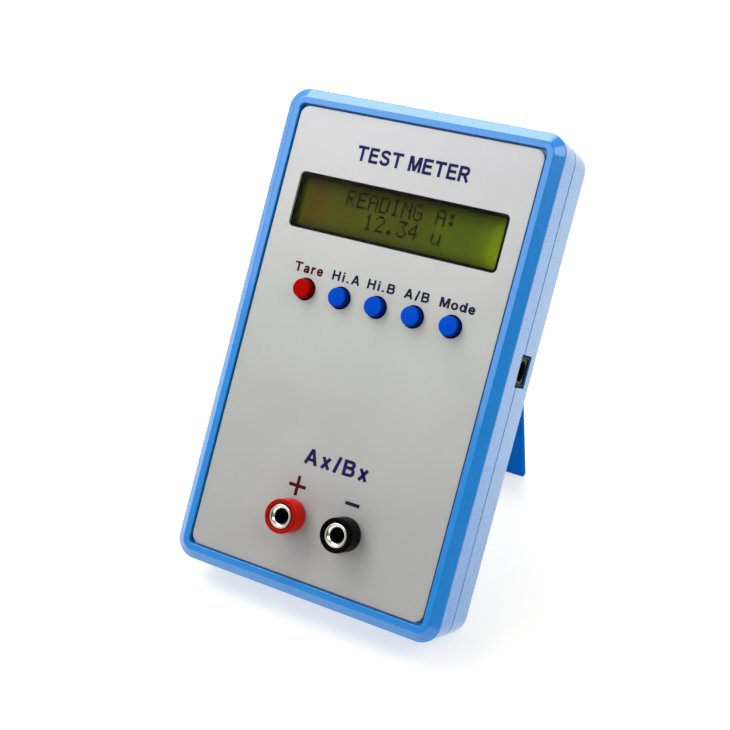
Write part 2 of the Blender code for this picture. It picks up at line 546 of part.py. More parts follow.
def coil_points(turns, per_turn, r_low, r_high, length):
    count = turns * per_turn
    for i in range(count + 1):
        share = i / count
        angle = 2 * math.pi * i / per_turn
        radius = r_low + (r_high - r_low) * share
        yield Vector((radius * math.cos(angle), length * share, radius * math.sin(angle))) * MM


def battery_spring(name, x, y_wide, towards):
    """A tapering coil along y, wide end on the contact plate, narrow end on the cell."""
    curve = bpy.data.curves.new(name, "CURVE")
    curve.dimensions = "3D"
    curve.bevel_depth = SPRING_WIRE_R * MM
    curve.bevel_resolution = 1
    curve.use_fill_caps = True
    points = list(coil_points(SPRING_TURNS, 10, SPRING_WIDE_R, SPRING_NARROW_R, SPRING_LENGTH * towards))
    spline = curve.splines.new("POLY")
    spline.points.add(len(points) - 1)
    for point, place in zip(spline.points, points):
        point.co = (*place, 1)
    obj = bpy.data.objects.new(name, curve)
    PARTS.objects.link(obj)
    obj.parent = METER
    obj.location = Vector((x, y_wide + (SPRING_WIRE_R + GAP) * towards, CELL_Z)) * MM
    curve.materials.append(NICKEL)


def batteries():
    """Four cells in series, turned about in turn, with springs on their flat ends."""
    high_face = BAY_HIGH_Y - GAP - PLATE_T
    low_face = BAY_LOW_Y + GAP + PLATE_T
    xs = [(i - (CELL_COUNT - 1) / 2) * CELL_PITCH for i in range(CELL_COUNT)]
    length = CELL_BODY + CELL_NUB
    profile = [(0, length), (CELL_NUB_R, length), (CELL_NUB_R, CELL_BODY), (CELL_R - CELL_EDGE, CELL_BODY),
               (CELL_R, CELL_BODY - CELL_EDGE), (CELL_R, CELL_EDGE), (CELL_R - CELL_EDGE, 0), (0, 0)]
    for i, x in enumerate(xs, 1):
        nub_up = i % 2 == 1
        start_y = high_face - GAP - length if nub_up else low_face + GAP + length
        cell = turned(f"battery_{i}", CELL_WRAP, profile, (x, start_y, CELL_Z), 20)
        cell.rotation_euler.x = -math.pi / 2 if nub_up else math.pi / 2
        battery_spring(f"battery_spring_{i}", x, low_face if nub_up else high_face, 1 if nub_up else -1)
    spans = [(xs[0], xs[0], high_face), (xs[1], xs[2], high_face), (xs[3], xs[3], high_face),
             (xs[0], xs[1], low_face - PLATE_T), (xs[2], xs[3], low_face - PLATE_T)]
    for i, (left, right, y) in enumerate(spans, 1):
        width = (left - PLATE_REACH, right + PLATE_REACH)
        box(f"battery_contact_{i}", NICKEL, width, (y, y + PLATE_T), PLATE_Z)


def battery_door():
    """Cover over the battery bay. It turns on two short pins at its lower edge, which is fully rounded."""
    pivot_y, pivot_z = BAY_LOW_Y - 0.4, DOOR_T / 2
    half_w = BAY_HALF_W + DOOR_LEDGE - GAP
    top_y = BAY_HIGH_Y + DOOR_LEDGE - GAP
    door_pivot = bpy.data.objects.new("door_pivot", None)
    PARTS.objects.link(door_pivot)
    door_pivot.parent = METER
    door_pivot.location = Vector((0, pivot_y, pivot_z)) * MM
    length = top_y - pivot_y
    door = box("battery_door", BACK_BLUE, centred(half_w), (0, length), centred(DOOR_T / 2),
               parent=door_pivot)
    fuse(door,
         rod("door_edge", None, DOOR_T / 2, (0, 0, 0), centred(half_w), "X", 16, door_pivot),
         rod("door_pins", None, DOOR_PIN_R, (0, 0, 0), centred(half_w + DOOR_PIN_REACH), "X", 12, door_pivot),
         box("door_latch", None, centred(LATCH_HALF_W), (length - LATCH_Y[1], length - LATCH_Y[0]), LATCH_Z,
             parent=door_pivot))


def stand(floor):
    """Fold-out stand: a tapering plate with a window, on a barrel with a pin at each end."""
    stand_pivot = bpy.data.objects.new("stand_pivot", None)
    PARTS.objects.link(stand_pivot)
    stand_pivot.parent = METER
    stand_pivot.location = Vector((0, HINGE_Y, HINGE_Z)) * MM
    stand_pivot.rotation_euler.x = OPEN
    plate_z = (-BARREL_R, STAND_T - BARREL_R)
    plate = stand_outline("stand", STAND_BLUE, stand_pivot, 0, (-STAND_LENGTH - 3, STAND_HEEL), plate_z)
    fuse(plate,
         rod("stand_barrel", None, BARREL_R, (0, 0, 0), centred(STAND_TOP_HALF_W - 0.4), "X", 20,
             stand_pivot),
         rod("stand_pins", None, HINGE_PIN_R, (0, 0, 0), centred(STAND_TOP_HALF_W + HINGE_PIN_REACH), "X", 12,
             stand_pivot))
    cut(plate,
        box("stand_window", None, centred(STAND_WINDOW_HALF_W),
            (-STAND_LENGTH + STAND_BAR_H, STAND_WINDOW_TOP_Y - HINGE_Y), (-5, 5), STAND_WINDOW_RADIUS, 3,
            stand_pivot),
        floor)


def case_screws():
    for i, (x, y) in enumerate(four_corners(CASE_SCREW_X, CASE_SCREW_Y), 1):
        screw(f"case_screw_{i}", (x, y, SCREW_SEAT_Z), SCREW_HEAD_R, SCREW_HEAD_H, SCREW_SHANK_R,
              SCREW_LENGTH)


def build_meter():
    sides = side_cutters()
    floor = floor_cutter()
    through_deck = button_holes() + socket_holes()
    front_shell([sides[0], *through_deck])
    rear_shell(sides, floor)
    front_panel(through_deck)
    display()
    buttons()
    key_switches()
    socket("red", RED)
    socket("black", BLACK)
    main_board()
    circuit_parts()
    power_inlet()
    power_switch()
    batteries()
    battery_door()
    stand(floor)
    case_screws()


build_meter()
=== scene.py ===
"""Looks of the LCR meter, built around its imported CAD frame.

Pieces are drawn in the case's own frame, in millimetres: x to the right, y up the front panel with 0 at
its middle, z out of the panel with 0 on the back. The matrix CASE then leans them into the row frame, in
metres. The stand and the battery door are drawn about their hinges and placed with STAND and DOOR.
"""
import json
import math

import bmesh
import bpy
from mathutils import Matrix, Vector


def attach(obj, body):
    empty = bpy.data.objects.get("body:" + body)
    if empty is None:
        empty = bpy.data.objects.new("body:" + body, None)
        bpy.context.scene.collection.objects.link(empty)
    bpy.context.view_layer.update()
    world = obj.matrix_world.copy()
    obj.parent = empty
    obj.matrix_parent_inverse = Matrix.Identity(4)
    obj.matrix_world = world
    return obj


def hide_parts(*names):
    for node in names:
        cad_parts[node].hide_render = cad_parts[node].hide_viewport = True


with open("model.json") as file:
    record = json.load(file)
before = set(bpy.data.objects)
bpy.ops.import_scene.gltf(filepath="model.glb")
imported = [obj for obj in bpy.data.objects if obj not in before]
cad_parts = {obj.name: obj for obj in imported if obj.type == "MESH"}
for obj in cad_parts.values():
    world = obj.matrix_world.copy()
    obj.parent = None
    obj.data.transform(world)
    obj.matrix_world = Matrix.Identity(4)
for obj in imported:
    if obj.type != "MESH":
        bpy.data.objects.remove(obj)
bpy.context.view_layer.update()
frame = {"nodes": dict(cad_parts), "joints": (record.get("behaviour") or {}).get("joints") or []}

MM = 0.001
GAP = 0.3                       # clearance that the CAD leaves between neighbours

# Shapes of the CAD pieces that a box does not tell
CASE_RADIUS, WALL = 6.2, 2.0
CHAMFER_W, CHAMFER_D = 2.8, 2.2
BACK_ROUNDING = 2.0
PANEL_RADIUS, DECK_T = 3.0, 2.0
LIP_HEIGHT, LIP_THICKNESS = 1.7, 0.6
WELL_DEPTH, WELL_GAP, WELL_FLOOR_TOP = 3.0, 0.4, 5.2
STAND_TOP_HALF_W, STAND_FOOT_HALF_W, STAND_HEEL, STAND_T = 37.4, 30.2, 2.7, 2.4
STAND_WINDOW_HALF_W, STAND_WINDOW_RADIUS, STAND_WINDOW_TOP, STAND_BAR_H = 26.2, 2.0, -4.0, 21.0
BARREL_R, HINGE_PIN_R, HINGE_PIN_REACH = 2.2, 1.2, 2.5
GROOVE_DEPTH, HINGE_BLOCK_TOP, FINGER_NOTCH_R = 5.6, 7.2, 3.0
FLANGE_T, FLANGE_RIM = 0.7, 1.2
SOCKET_BORE_R, CONTACT_R, SOCKET_NECK_R = 2.05, 3.45, 4.3
BORE_END_Z, CONTACT_BACK_Z, TAIL_R = 19.2, 18.0, 1.0
INLET_BORE_R, INLET_BORE_DEPTH = 3.0, 9.5
BAY_WALL, DOOR_LEDGE = 1.5, 1.6
CASE_POST_R, BOARD_POST_R, DISPLAY_POST_R = 3.4, 2.5, 2.2
CASE_SCREW_HOLE_R, SMALL_SCREW_HOLE_R = 1.55, 1.3
CASE_SCREW, SMALL_SCREW = (1.25, 2.0), (1.0, 1.4)      # radius of the shank, height of the head

# Display and printing
WINDOW_RADIUS = 1.5
MASK_OPENING_W, MASK_OPENING_H = 63.6, 14.4
PRINT_LIFT, PRINT_T = 0.002, 0.04        # the print starts just clear of the panel
BUTTON_LABELS = [               # text, shift of its middle from the button's, width
    ("Tare", -0.4, 9.4), ("Hi.A", 0.3, 8.8), ("Hi.B", 0.0, 8.6), ("A/B", -0.4, 7.6), ("Mode", 0.4, 10.6),
]
DISPLAY_ROWS = [("READING A:", 3), ("12.34 u", 5)]     # text and first column
DISPLAY_COLUMNS, CHARACTER_PITCH, DOT_PITCH_X, DOT_PITCH_Y = 16, 3.55, 0.59, 0.68
GLYPHS = {                      # seven rows of five dots, none for a space
    "R": "####. #...# #...# ####. #.#.. #..#. #...#",
    "E": "##### #.... #.... ####. #.... #.... #####",
    "A": ".###. #...# #...# ##### #...# #...# #...#",
    "D": "####. #...# #...# #...# #...# #...# ####.",
    "I": ".###. ..#.. ..#.. ..#.. ..#.. ..#.. .###.",
    "N": "#...# ##..# #.#.# #..## #...# #...# #...#",
    "G": ".###. #...# #.... #.### #...# #...# .###.",
    "1": "..#.. .##.. ..#.. ..#.. ..#.. ..#.. .###.",
    "2": ".###. #...# ....# ...#. ..#.. .#... #####",
    "3": "##### ...#. ..#.. ...#. ....# #...# .###.",
    "4": "...#. ..##. .#.#. #..#. ##### ...#. ...#.",
    "u": "..... ..... #...# #...# #...# #..## .##.#",
    ":": "..... .##.. .##.. ..... .##.. .##.. .....",
    ".": "..... ..... ..... ..... ..... .##.. .##..",
    " ": "",
}

# Camera and light
CAMERA_AZIMUTH, CAMERA_ELEVATION, CAMERA_DISTANCE, CAMERA_LENS = 28.16, 31.62, 0.35271, 61.64
CAMERA_AIM = (2.3, -2.21)       # where on the panel the camera looks
WORLD_LIGHT, WORLD_DARK, FLOOR_GLOW = 0.62, 0.10, 0.60
SOFTBOXES = [                   # name, direction from the meter, distance, width and height, watts
    ("key", (-0.62, -0.30, 0.90), 1.1, (0.42, 0.42), 3.4),
    ("overhead", (-0.35, 0.30, 0.90), 0.9, (0.9, 0.5), 7.0),
    ("front_left", (-0.42, -0.69, 0.62), 1.0, (0.60, 0.34), 1.5),
    ("fill", (0.80, -0.15, 0.80), 1.0, (0.5, 0.5), 3.2),
]


# The case's own frame, from the joints' axes and the shells' limits

JOINTS = {joint["name"]: joint for joint in frame["joints"]}
UP = Vector(JOINTS["power_slide"]["axis"]).normalized()
OUT = -Vector(JOINTS["zero_button_press"]["axis"]).normalized()
TURN = Matrix((UP.cross(OUT), UP, OUT))


def turned_limits(node):
    """Lowest and highest x, y and z of a CAD node along the case's axes, in mm from the row origin."""
    points = [TURN @ vert.co / MM for vert in frame["nodes"][node].data.vertices]
    low = Vector([min(p[i] for p in points) for i in range(3)])
    high = Vector([max(p[i] for p in points) for i in range(3)])
    return low, high


SHELL_LOW, SHELL_HIGH = turned_limits("front_shell")
ORIGIN = Vector((0, (SHELL_LOW.y + SHELL_HIGH.y) / 2, turned_limits("rear_shell")[0].z))
CASE = TURN.transposed().to_4x4() @ Matrix.Scale(MM, 4) @ Matrix.Translation(ORIGIN)


def limits(node):
    low, high = turned_limits(node)
    return low - ORIGIN, high - ORIGIN


def middle(node):
    low, high = limits(node)
    return (low + high) / 2


def hinge_place(joint, opening=0.0):
    """Matrix from a hinge's own frame, in millimetres, to the row frame."""
    at = Matrix.Translation(Vector(JOINTS[joint]["pos_m"]))
    return at @ TURN.transposed().to_4x4() @ Matrix.Rotation(opening, 4, "X") @ Matrix.Scale(MM, 4)


STAND_OPEN = -math.radians(min(JOINTS["stand_hinge"]["range_deg"]))
STAND = hinge_place("stand_hinge", STAND_OPEN)
DOOR = hinge_place("battery_door_hinge")
HINGE = CASE.inverted() @ Vector(JOINTS["stand_hinge"]["pos_m"])
DOOR_HINGE = CASE.inverted() @ Vector(JOINTS["battery_door_hinge"]["pos_m"])

HALF_W = limits("front_shell")[1].x
HALF_H = limits("front_shell")[1].y
FRONT_SEAM, RIM = limits("front_shell")[0].z, limits("front_shell")[1].z
PANEL_LOW, PANEL_HIGH = limits("front_panel")
PRINT_Z = (PANEL_HIGH.z + PRINT_LIFT, PANEL_HIGH.z + PRINT_T)
SEAM = FRONT_SEAM - GAP
DECK_TOP = PANEL_LOW.z - GAP
DECK_UNDER = DECK_TOP - DECK_T
LEAN = math.atan2(UP.y, UP.z)
STAND_LENGTH = JOINTS["stand_hinge"]["pos_m"][2] / MM / math.cos(STAND_OPEN - LEAN)
WELL_END = -STAND_LENGTH - BARREL_R * math.tan(STAND_OPEN - LEAN) - WELL_GAP
GROOVE_TOP = STAND_HEEL + 1.1


# Shape tools

ADD, CUT = "UNION", "DIFFERENCE"


def fillet(corners, steps=4):
    """Points of a polyline whose corners, given as (a, b, radius), are rounded by arcs."""
    points = []
    for i, (a, b, radius) in enumerate(corners):
        here = Vector((a, b))
        if not radius or i in (0, len(corners) - 1):
            points.append((a, b))
            continue
        before = (Vector(corners[i - 1][:2]) - here).normalized()
        after = (Vector(corners[i + 1][:2]) - here).normalized()
        half = before.angle(after) / 2
        centre = here + (before + after).normalized() * radius / math.sin(half)
        start = here + before * radius / math.tan(half) - centre
        end = here + after * radius / math.tan(half) - centre
        first = math.atan2(start.y, start.x)
        turn = math.remainder(math.atan2(end.y, end.x) - first, 2 * math.pi)
        for k in range(steps + 1):
            angle = first + turn * k / steps
            points.append((centre.x + radius * math.cos(angle), centre.y + radius * math.sin(angle)))
    return points


def rounded_loop(half_w, half_h, radius, z, centre=(0, 0), steps=12):
    """Corners of a rounded rectangle, anticlockwise, at height z."""
    radius = max(radius, 0.02)
    loop = []
    for quarter, (sx, sy) in enumerate(((1, 1), (-1, 1), (-1, -1), (1, -1))):
        for k in range(steps + 1):
            angle = math.pi / 2 * (quarter + k / steps)
            loop.append(Vector((centre[0] + sx * (half_w - radius) + radius * math.cos(angle),
                                centre[1] + sy * (half_h - radius) + radius * math.sin(angle), z)))
    return loop


def loft(loops):
    """A closed solid through loops of equal length, flat at both ends."""
    bm = bmesh.new()
    rings = [[bm.verts.new(point) for point in loop] for loop in loops]
    count = len(rings[0])
    for low, high in zip(rings, rings[1:]):
        for i in range(count):
            j = (i + 1) % count
            bm.faces.new((low[i], low[j], high[j], high[i]))
    bm.faces.new(reversed(rings[0]))
    bm.faces.new(rings[-1])
    return finished(bm)


def prism(half_w, half_h, radius, profile, centre=(0, 0), steps=8):
    """A rounded block through a profile of (inset, height) pairs."""
    return loft([rounded_loop(half_w - inset, half_h - inset, radius - inset, z, centre, steps)
                 for inset, z in profile])


def slab(x, y, z, radius=0.0, edge=0.0, steps=8):
    """A block from its limits, its upright corners rounded by radius and its flat edges by edge."""
    profile = [(0, z[0]), (0, z[1])]
    if edge:
        corners = [(edge * 2, z[0], 0), (0, z[0], edge), (0, z[1], edge), (edge * 2, z[1], 0)]
        profile = fillet(corners, 3)[1:-1]
    centre = ((x[0] + x[1]) / 2, (y[0] + y[1]) / 2)
    return prism((x[1] - x[0]) / 2, (y[1] - y[0]) / 2, radius, profile, centre, steps)


def box(low, high, grow=0.0):
    """Limits in x, y and z of the space between two corners, grown all round."""
    return [(a - grow, b + grow) for a, b in zip(low, high)]


def lathe(profile, at=(0, 0, 0), sides=64, axis="Z", closed=False):
    """A turned solid from (radius, height) points, about an axis through the point at."""
    bm = bmesh.new()
    rings = []
    for radius, height in profile:
        turns = sides if radius > 1e-6 else 1
        angles = [2 * math.pi * k / turns for k in range(turns)]
        rings.append([bm.verts.new((radius * math.cos(a), radius * math.sin(a), height)) for a in angles])
    pairs = list(zip(rings, rings[1:])) + ([(rings[-1], rings[0])] if closed else [])
    for one, two in pairs:
        for k in range(sides):
            corners = dict.fromkeys([one[k % len(one)], one[(k + 1) % len(one)],
                                     two[(k + 1) % len(two)], two[k % len(two)]])
            if len(corners) > 2:
                bm.faces.new(list(corners))
    turn = {"Z": Matrix.Identity(4), "X": Matrix.Rotation(math.pi / 2, 4, "Y"),
            "Y": Matrix.Rotation(-math.pi / 2, 4, "X")}[axis]
    bmesh.ops.transform(bm, matrix=Matrix.Translation(Vector(at)) @ turn, verts=bm.verts)
    return finished(bm)


def finished(bm):
    bmesh.ops.recalc_face_normals(bm, faces=bm.faces)
    mesh = bpy.data.meshes.new("shape")
    bm.to_mesh(mesh)
    bm.free()
    return mesh


def moved(mesh, matrix):
    mesh.transform(matrix)
    return mesh


def joined(meshes):
    """Separate solids in one mesh."""
    bm = bmesh.new()
    for mesh in meshes:
        bm.from_mesh(mesh)
    return finished(bm)


def linked(name, data):
    obj = bpy.data.objects.new(name, data)
    bpy.context.scene.collection.objects.link(obj)
    return obj


def evaluated(obj):
    """The mesh that an object's modifiers or curve settings make. The object itself is removed."""
    graph = bpy.context.evaluated_depsgraph_get()
    mesh = bpy.data.meshes.new_from_object(obj.evaluated_get(graph))
    bpy.data.objects.remove(obj)
    return mesh


def combine(mesh, steps):
    """The mesh after Boolean steps, each a pair of operation and mesh."""
    target = linked("target", mesh)
    tools = []
    for operation, other in steps:
        tools.append(linked("tool", other))
        step = target.modifiers.new("step", "BOOLEAN")
        step.operation = operation
        step.solver = "EXACT"
        step.object = tools[-1]
    result = evaluated(target)
    for tool in tools:
        bpy.data.objects.remove(tool)
    return result


def without(mesh, *others):
    return combine(mesh, [(CUT, other) for other in others])


def span(centre, half):
    return (centre - half, centre + half)


def soften(obj, edge):
    """Edges rounded by edge millimetres, if any, and normals that keep broad faces flat."""
    if edge:
        bevel = obj.modifiers.new("edges", "BEVEL")
        bevel.width = edge * MM
        bevel.segments = 2
        bevel.limit_method = "ANGLE"
        bevel.angle_limit = math.radians(38)
    normals = obj.modifiers.new("normals", "WEIGHTED_NORMAL")
    normals.keep_sharp = True
    normals.weight = 80


def piece(name, mesh, finish, slot=None, place=CASE, body="root", stands_for=None, edge=0.0, sharp=34):
    """A shown piece: its mesh goes into the row frame, gets its finish and rides on its body."""
    mesh.transform(place)
    mesh.name = name
    mesh.materials.clear()
    mesh.materials.append(MATERIALS[finish])
    mesh.shade_smooth()
    mesh.set_sharp_from_angle(angle=math.radians(sharp))
    obj = linked(name, mesh)
    soften(obj, edge)
    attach(obj, body)
    slot or finish
    if stands_for:
        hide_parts(stands_for)


# Materials

def linear(value):
    v = value / 255
    return v / 12.92 if v <= 0.04045 else ((v + 0.055) / 1.055) ** 2.4


def colour(rgb):
    return (*[linear(c) for c in rgb], 1.0)


class Nodes:
    """A node tree under construction. Its inputs take a value or another node's output."""

    def __init__(self, owner):
        owner.use_nodes = True
        self.nodes = owner.node_tree.nodes
        self.links = owner.node_tree.links

    def put(self, into, value):
        if isinstance(value, bpy.types.NodeSocket):
            self.links.new(value, into)
        else:
            into.default_value = value

    def node(self, kind, result, inputs=None, **settings):
        """The output of a new node that has the name or number result."""
        made = self.nodes.new("ShaderNode" + kind)
        for key, value in settings.items():
            setattr(made, key, value)
        for key, value in (inputs or {}).items():
            self.put(made.inputs[key], value)
        return made.outputs[result]

    def maths(self, operation, *values):
        return self.node("Math", "Value", dict(enumerate(values)), operation=operation)

    def dot(self, vector, axis):
        return self.node("VectorMath", "Value", {0: vector, 1: axis}, operation="DOT_PRODUCT")

    def span(self, value, low, high, low_to=0.0, high_to=1.0):
        """Value in low to high, mapped to low_to to high_to and held there outside."""
        return self.node("MapRange", "Result", {"Value": value, "From Min": low, "From Max": high,
                                                "To Min": low_to, "To Max": high_to})


class Finish(Nodes):
    """A material under construction: a Principled shader fed by procedural nodes."""

    def __init__(self, name, **values):
        self.mat = bpy.data.materials.new(name)
        super().__init__(self.mat)
        self.place = self.node("TexCoord", "Object")
        self.feed(**values)

    def feed(self, **values):
        """Give the shader's inputs, named with _ for a space, their values or outputs."""
        for key, value in values.items():
            self.put(self.nodes["Principled BSDF"].inputs[key.replace("_", " ")], value)

    def noise(self, size_mm, detail=3.0):
        """Noise whose features are about size_mm wide."""
        scale = 1 / (size_mm * MM)
        return self.node("TexNoise", "Fac", {"Vector": self.place, "Scale": scale, "Detail": detail})

    def ramp(self, value, stops):
        """Colours at places between 0 and 1."""
        out = self.node("ValToRGB", "Color", {"Fac": value})
        elements = out.node.color_ramp.elements
        while len(elements) < len(stops):
            elements.new(0.5)
        for element, (at, rgb) in zip(elements, stops):
            element.position = at
            element.color = colour(rgb)
        return out

    def clouds(self, size_mm, dark, light, detail=3.0):
        """A colour that wanders between two others over about size_mm."""
        return self.ramp(self.noise(size_mm, detail), [(0.3, dark), (0.7, light)])

    def painted_shade_by_facing(self, top, side):
        """Painted shade: one colour for faces that look out of the panel and another for faces that look
        along it, standing in for how light falls on them.
        """
        return self.ramp(self.dot(self.node("TexCoord", "Normal"), OUT), [(0.25, side), (0.9, top)])

    def mix(self, share, one, two, blend="MIX"):
        return self.node("Mix", 2, {0: share, 6: one, 7: two}, data_type="RGBA", blend_type=blend)

    def bump(self, value, depth_mm):
        return self.node("Bump", "Normal", {"Height": value, "Distance": depth_mm * MM})

    def distance(self, axis):
        """Distance along the case's X, Y or Z, in metres from the row origin."""
        return self.dot(self.place, TURN["XYZ".index(axis)])

    def along(self, axis, low, high, low_to=0.0, high_to=1.0):
        """The stretch from low to high, in the case's millimetres, mapped to low_to to high_to."""
        start = ORIGIN["XYZ".index(axis)]
        return self.span(self.distance(axis), (start + low) * MM, (start + high) * MM, low_to, high_to)


def plastic(name, rgb, roughness=0.3, coat=0.0, mottle=0.04, shine=0.5, painted_facing_tints=None):
    """Moulded plastic: a slightly uneven colour, a fine grain and a varying sheen.

    The optional pair of tints paints shade onto its faces by where they look: out of the panel first, then
    along it.
    """
    made = Finish(name, IOR=1.5, Specular_IOR_Level=shine, Coat_Weight=coat, Coat_Roughness=0.06)
    darker = [c * (1 - mottle) for c in rgb]
    lighter = [min(255, c * (1 + mottle * 0.6)) for c in rgb]
    base = made.clouds(14.0, darker, lighter, 4.0)
    if painted_facing_tints:
        # painted shade: the mottled colour is multiplied by a tint that depends on which way each face
        # looks
        base = made.mix(1.0, base, made.painted_shade_by_facing(*painted_facing_tints), "MULTIPLY")
    made.feed(Base_Color=base,
              Roughness=made.span(made.noise(3.0, 4.0), 0.3, 0.7, roughness * 0.88, roughness * 1.12),
              Normal=made.bump(made.noise(0.5, 2.0), 0.0003))
    return made.mat


def metal(name, rgb, roughness):
    """Plated or bare metal with fine machining marks."""
    made = Finish(name, Metallic=1.0)
    marks = made.noise(0.4, 4.0)
    made.feed(Base_Color=made.clouds(5.0, [c * 0.9 for c in rgb], rgb),
              Roughness=made.span(marks, 0.3, 0.7, roughness * 0.8, roughness * 1.25),
              Normal=made.bump(marks, 0.002))
    return made.mat


def silver_paint():
    """Metallic paint: fine flakes in a silver-grey, with painted shade that darkens it a little down the
    panel.
    """
    made = Finish("silver_paint", Metallic=0.25, IOR=1.45)
    # painted shade: the silver-grey is lightest at the top of the panel and darkens towards the bottom,
    # standing in for light that falls off
    down = made.ramp(made.along("Y", PANEL_LOW.y, PANEL_HIGH.y),
                     [(0.0, (171, 171, 170)), (0.55, (183, 185, 180)), (1.0, (195, 195, 197))])
    grain = made.noise(0.12, 1.0)
    speckle = made.ramp(grain, [(0.35, (244, 244, 245)), (0.65, WHITE)])
    flakes = made.mix(1.0, speckle, made.clouds(22.0, (247, 247, 248), WHITE), "MULTIPLY")
    made.feed(Base_Color=made.mix(1.0, down, flakes, "MULTIPLY"),
              Roughness=made.span(grain, 0.3, 0.7, 0.40, 0.52),
              Normal=made.bump(grain, 0.0006))
    return made.mat


def display_liquid():
    """Reflective display behind its polariser: olive, browner to the left, with a painted glow of backlight
    along the right edge and painted shade towards the top and bottom.
    """
    made = Finish("display_liquid", Roughness=0.45, Specular_IOR_Level=0.08)
    low, high = limits("display_window")
    centre = middle("display_window").y
    share = made.along("X", low.x, high.x, -0.05, 0.95)
    # the last stops are a painted glow of backlight along the right edge
    across = made.ramp(made.maths("MULTIPLY_ADD", made.noise(16.0, 2.0), 0.10, share),
                       [(0.01, (84, 92, 10)), (0.08, (94, 74, 20)), (0.20, (86, 86, 18)),
                        (0.55, (84, 90, 18)), (0.86, (90, 104, 12)), (0.93, (106, 124, 10)),
                        (0.98, (142, 164, 12))])
    # painted shade: darker towards the top edge, and a little towards the bottom edge
    shade = made.ramp(made.along("Y", centre - 7, centre + 7),
                      [(0.0, (215, 215, 215)), (0.2, WHITE), (0.7, (245, 240, 235)),
                       (1.0, (170, 160, 150))])
    made.feed(Base_Color=made.mix(1.0, across, shade, "MULTIPLY"),
              Normal=made.bump(made.noise(0.5, 2.0), 0.0005))
    return made.mat


def clear_pane():
    """Thin clear plastic. Light passes straight through it, and it mirrors the surroundings weakly."""
    made = Finish("clear_pane")
    tint = made.clouds(9.0, (240, 242, 234), (248, 250, 244))
    see = made.node("BsdfTransparent", "BSDF", {"Color": tint})
    glossy = made.node("BsdfGlossy", "BSDF", {"Roughness": 0.05})
    edge_on = made.maths("POWER", made.node("LayerWeight", "Facing"), 5.0)
    mirror = made.span(edge_on, 0.0, 1.0, 0.0015, 0.6)
    made.put(made.nodes["Material Output"].inputs["Surface"],
             made.node("MixShader", "Shader", {"Fac": mirror, 1: see, 2: glossy}))
    return made.mat


def socket_nickel():
    """Nickel plate, bright at the mouth of a socket and dull down its bore, where painted shade turns it
    dark.
    """
    made = Finish("socket_nickel", Metallic=1.0)
    mouth = limits("red_socket_contact")[1].z
    depth = made.along("Z", mouth - 2.2, mouth - 0.8)
    # painted shade: the plate's colour falls to near black down the bore
    tone = made.ramp(depth, [(0.0, (4, 4, 4)), (0.5, (58, 46, 34)), (1.0, (232, 228, 220))])
    made.feed(Base_Color=made.mix(1.0, tone, made.clouds(5.0, (235, 235, 235), WHITE), "MULTIPLY"),
              Roughness=made.span(depth, 0.0, 1.0, 0.6, 0.16),
              Normal=made.bump(made.noise(0.5, 3.0), 0.001))
    return made.mat


def board_laminate():
    """Circuit board: green mask over copper tracks that run along the board's two directions."""
    made = Finish("board_laminate", Roughness=0.4, IOR=1.5, Coat_Weight=0.3)
    masks = []
    for axis in "XY":
        across = made.node("CombineXYZ", "Vector", {"X": made.maths("MULTIPLY", made.distance(axis), 60.0)})
        wave = made.node("TexWave", "Fac", {"Vector": across, "Scale": 1.0, "Distortion": 0.0})
        masks.append(made.span(wave, 0.80, 0.84))
    tracks = made.mix(made.span(made.noise(9.0, 0.0), 0.49, 0.51), *masks)
    made.feed(Base_Color=made.mix(tracks, colour((14, 78, 40)), colour((36, 120, 60))),
              Normal=made.bump(tracks, 0.03))
    return made.mat


def wound_wire():
    """Enamelled copper wire wound about the case's out axis."""
    made = Finish("wound_wire", Metallic=0.7, Roughness=0.3)
    turns = made.maths("SINE", made.maths("MULTIPLY", made.distance("Z"), 2 * math.pi / (0.4 * MM)))
    made.feed(Base_Color=made.clouds(2.0, (140, 66, 30), (190, 104, 56)), Normal=made.bump(turns, 0.06))
    return made.mat


def cell_wrap(name, towards):
    """Printed cell sleeve: dark, with a copper-coloured band at the positive end."""
    made = Finish(name, IOR=1.5, Coat_Weight=0.7, Coat_Roughness=0.05)
    low, high = limits("battery_1")
    dark, band = (44, 46, 52), (190, 118, 44)
    stops = [(0.0, dark), (0.70, dark), (0.705, band), (1.0, band)]
    if towards < 0:
        stops = [(0.0, band), (0.295, band), (0.30, dark), (1.0, dark)]
    sleeve = made.ramp(made.along("Y", low.y, high.y), stops)
    made.feed(Base_Color=made.mix(0.12, sleeve, made.clouds(4.0, (90, 90, 90), WHITE), "MULTIPLY"),
              Roughness=made.span(made.noise(2.0), 0.3, 0.7, 0.24, 0.34),
              Normal=made.bump(made.noise(1.5), 0.01))
    return made.mat


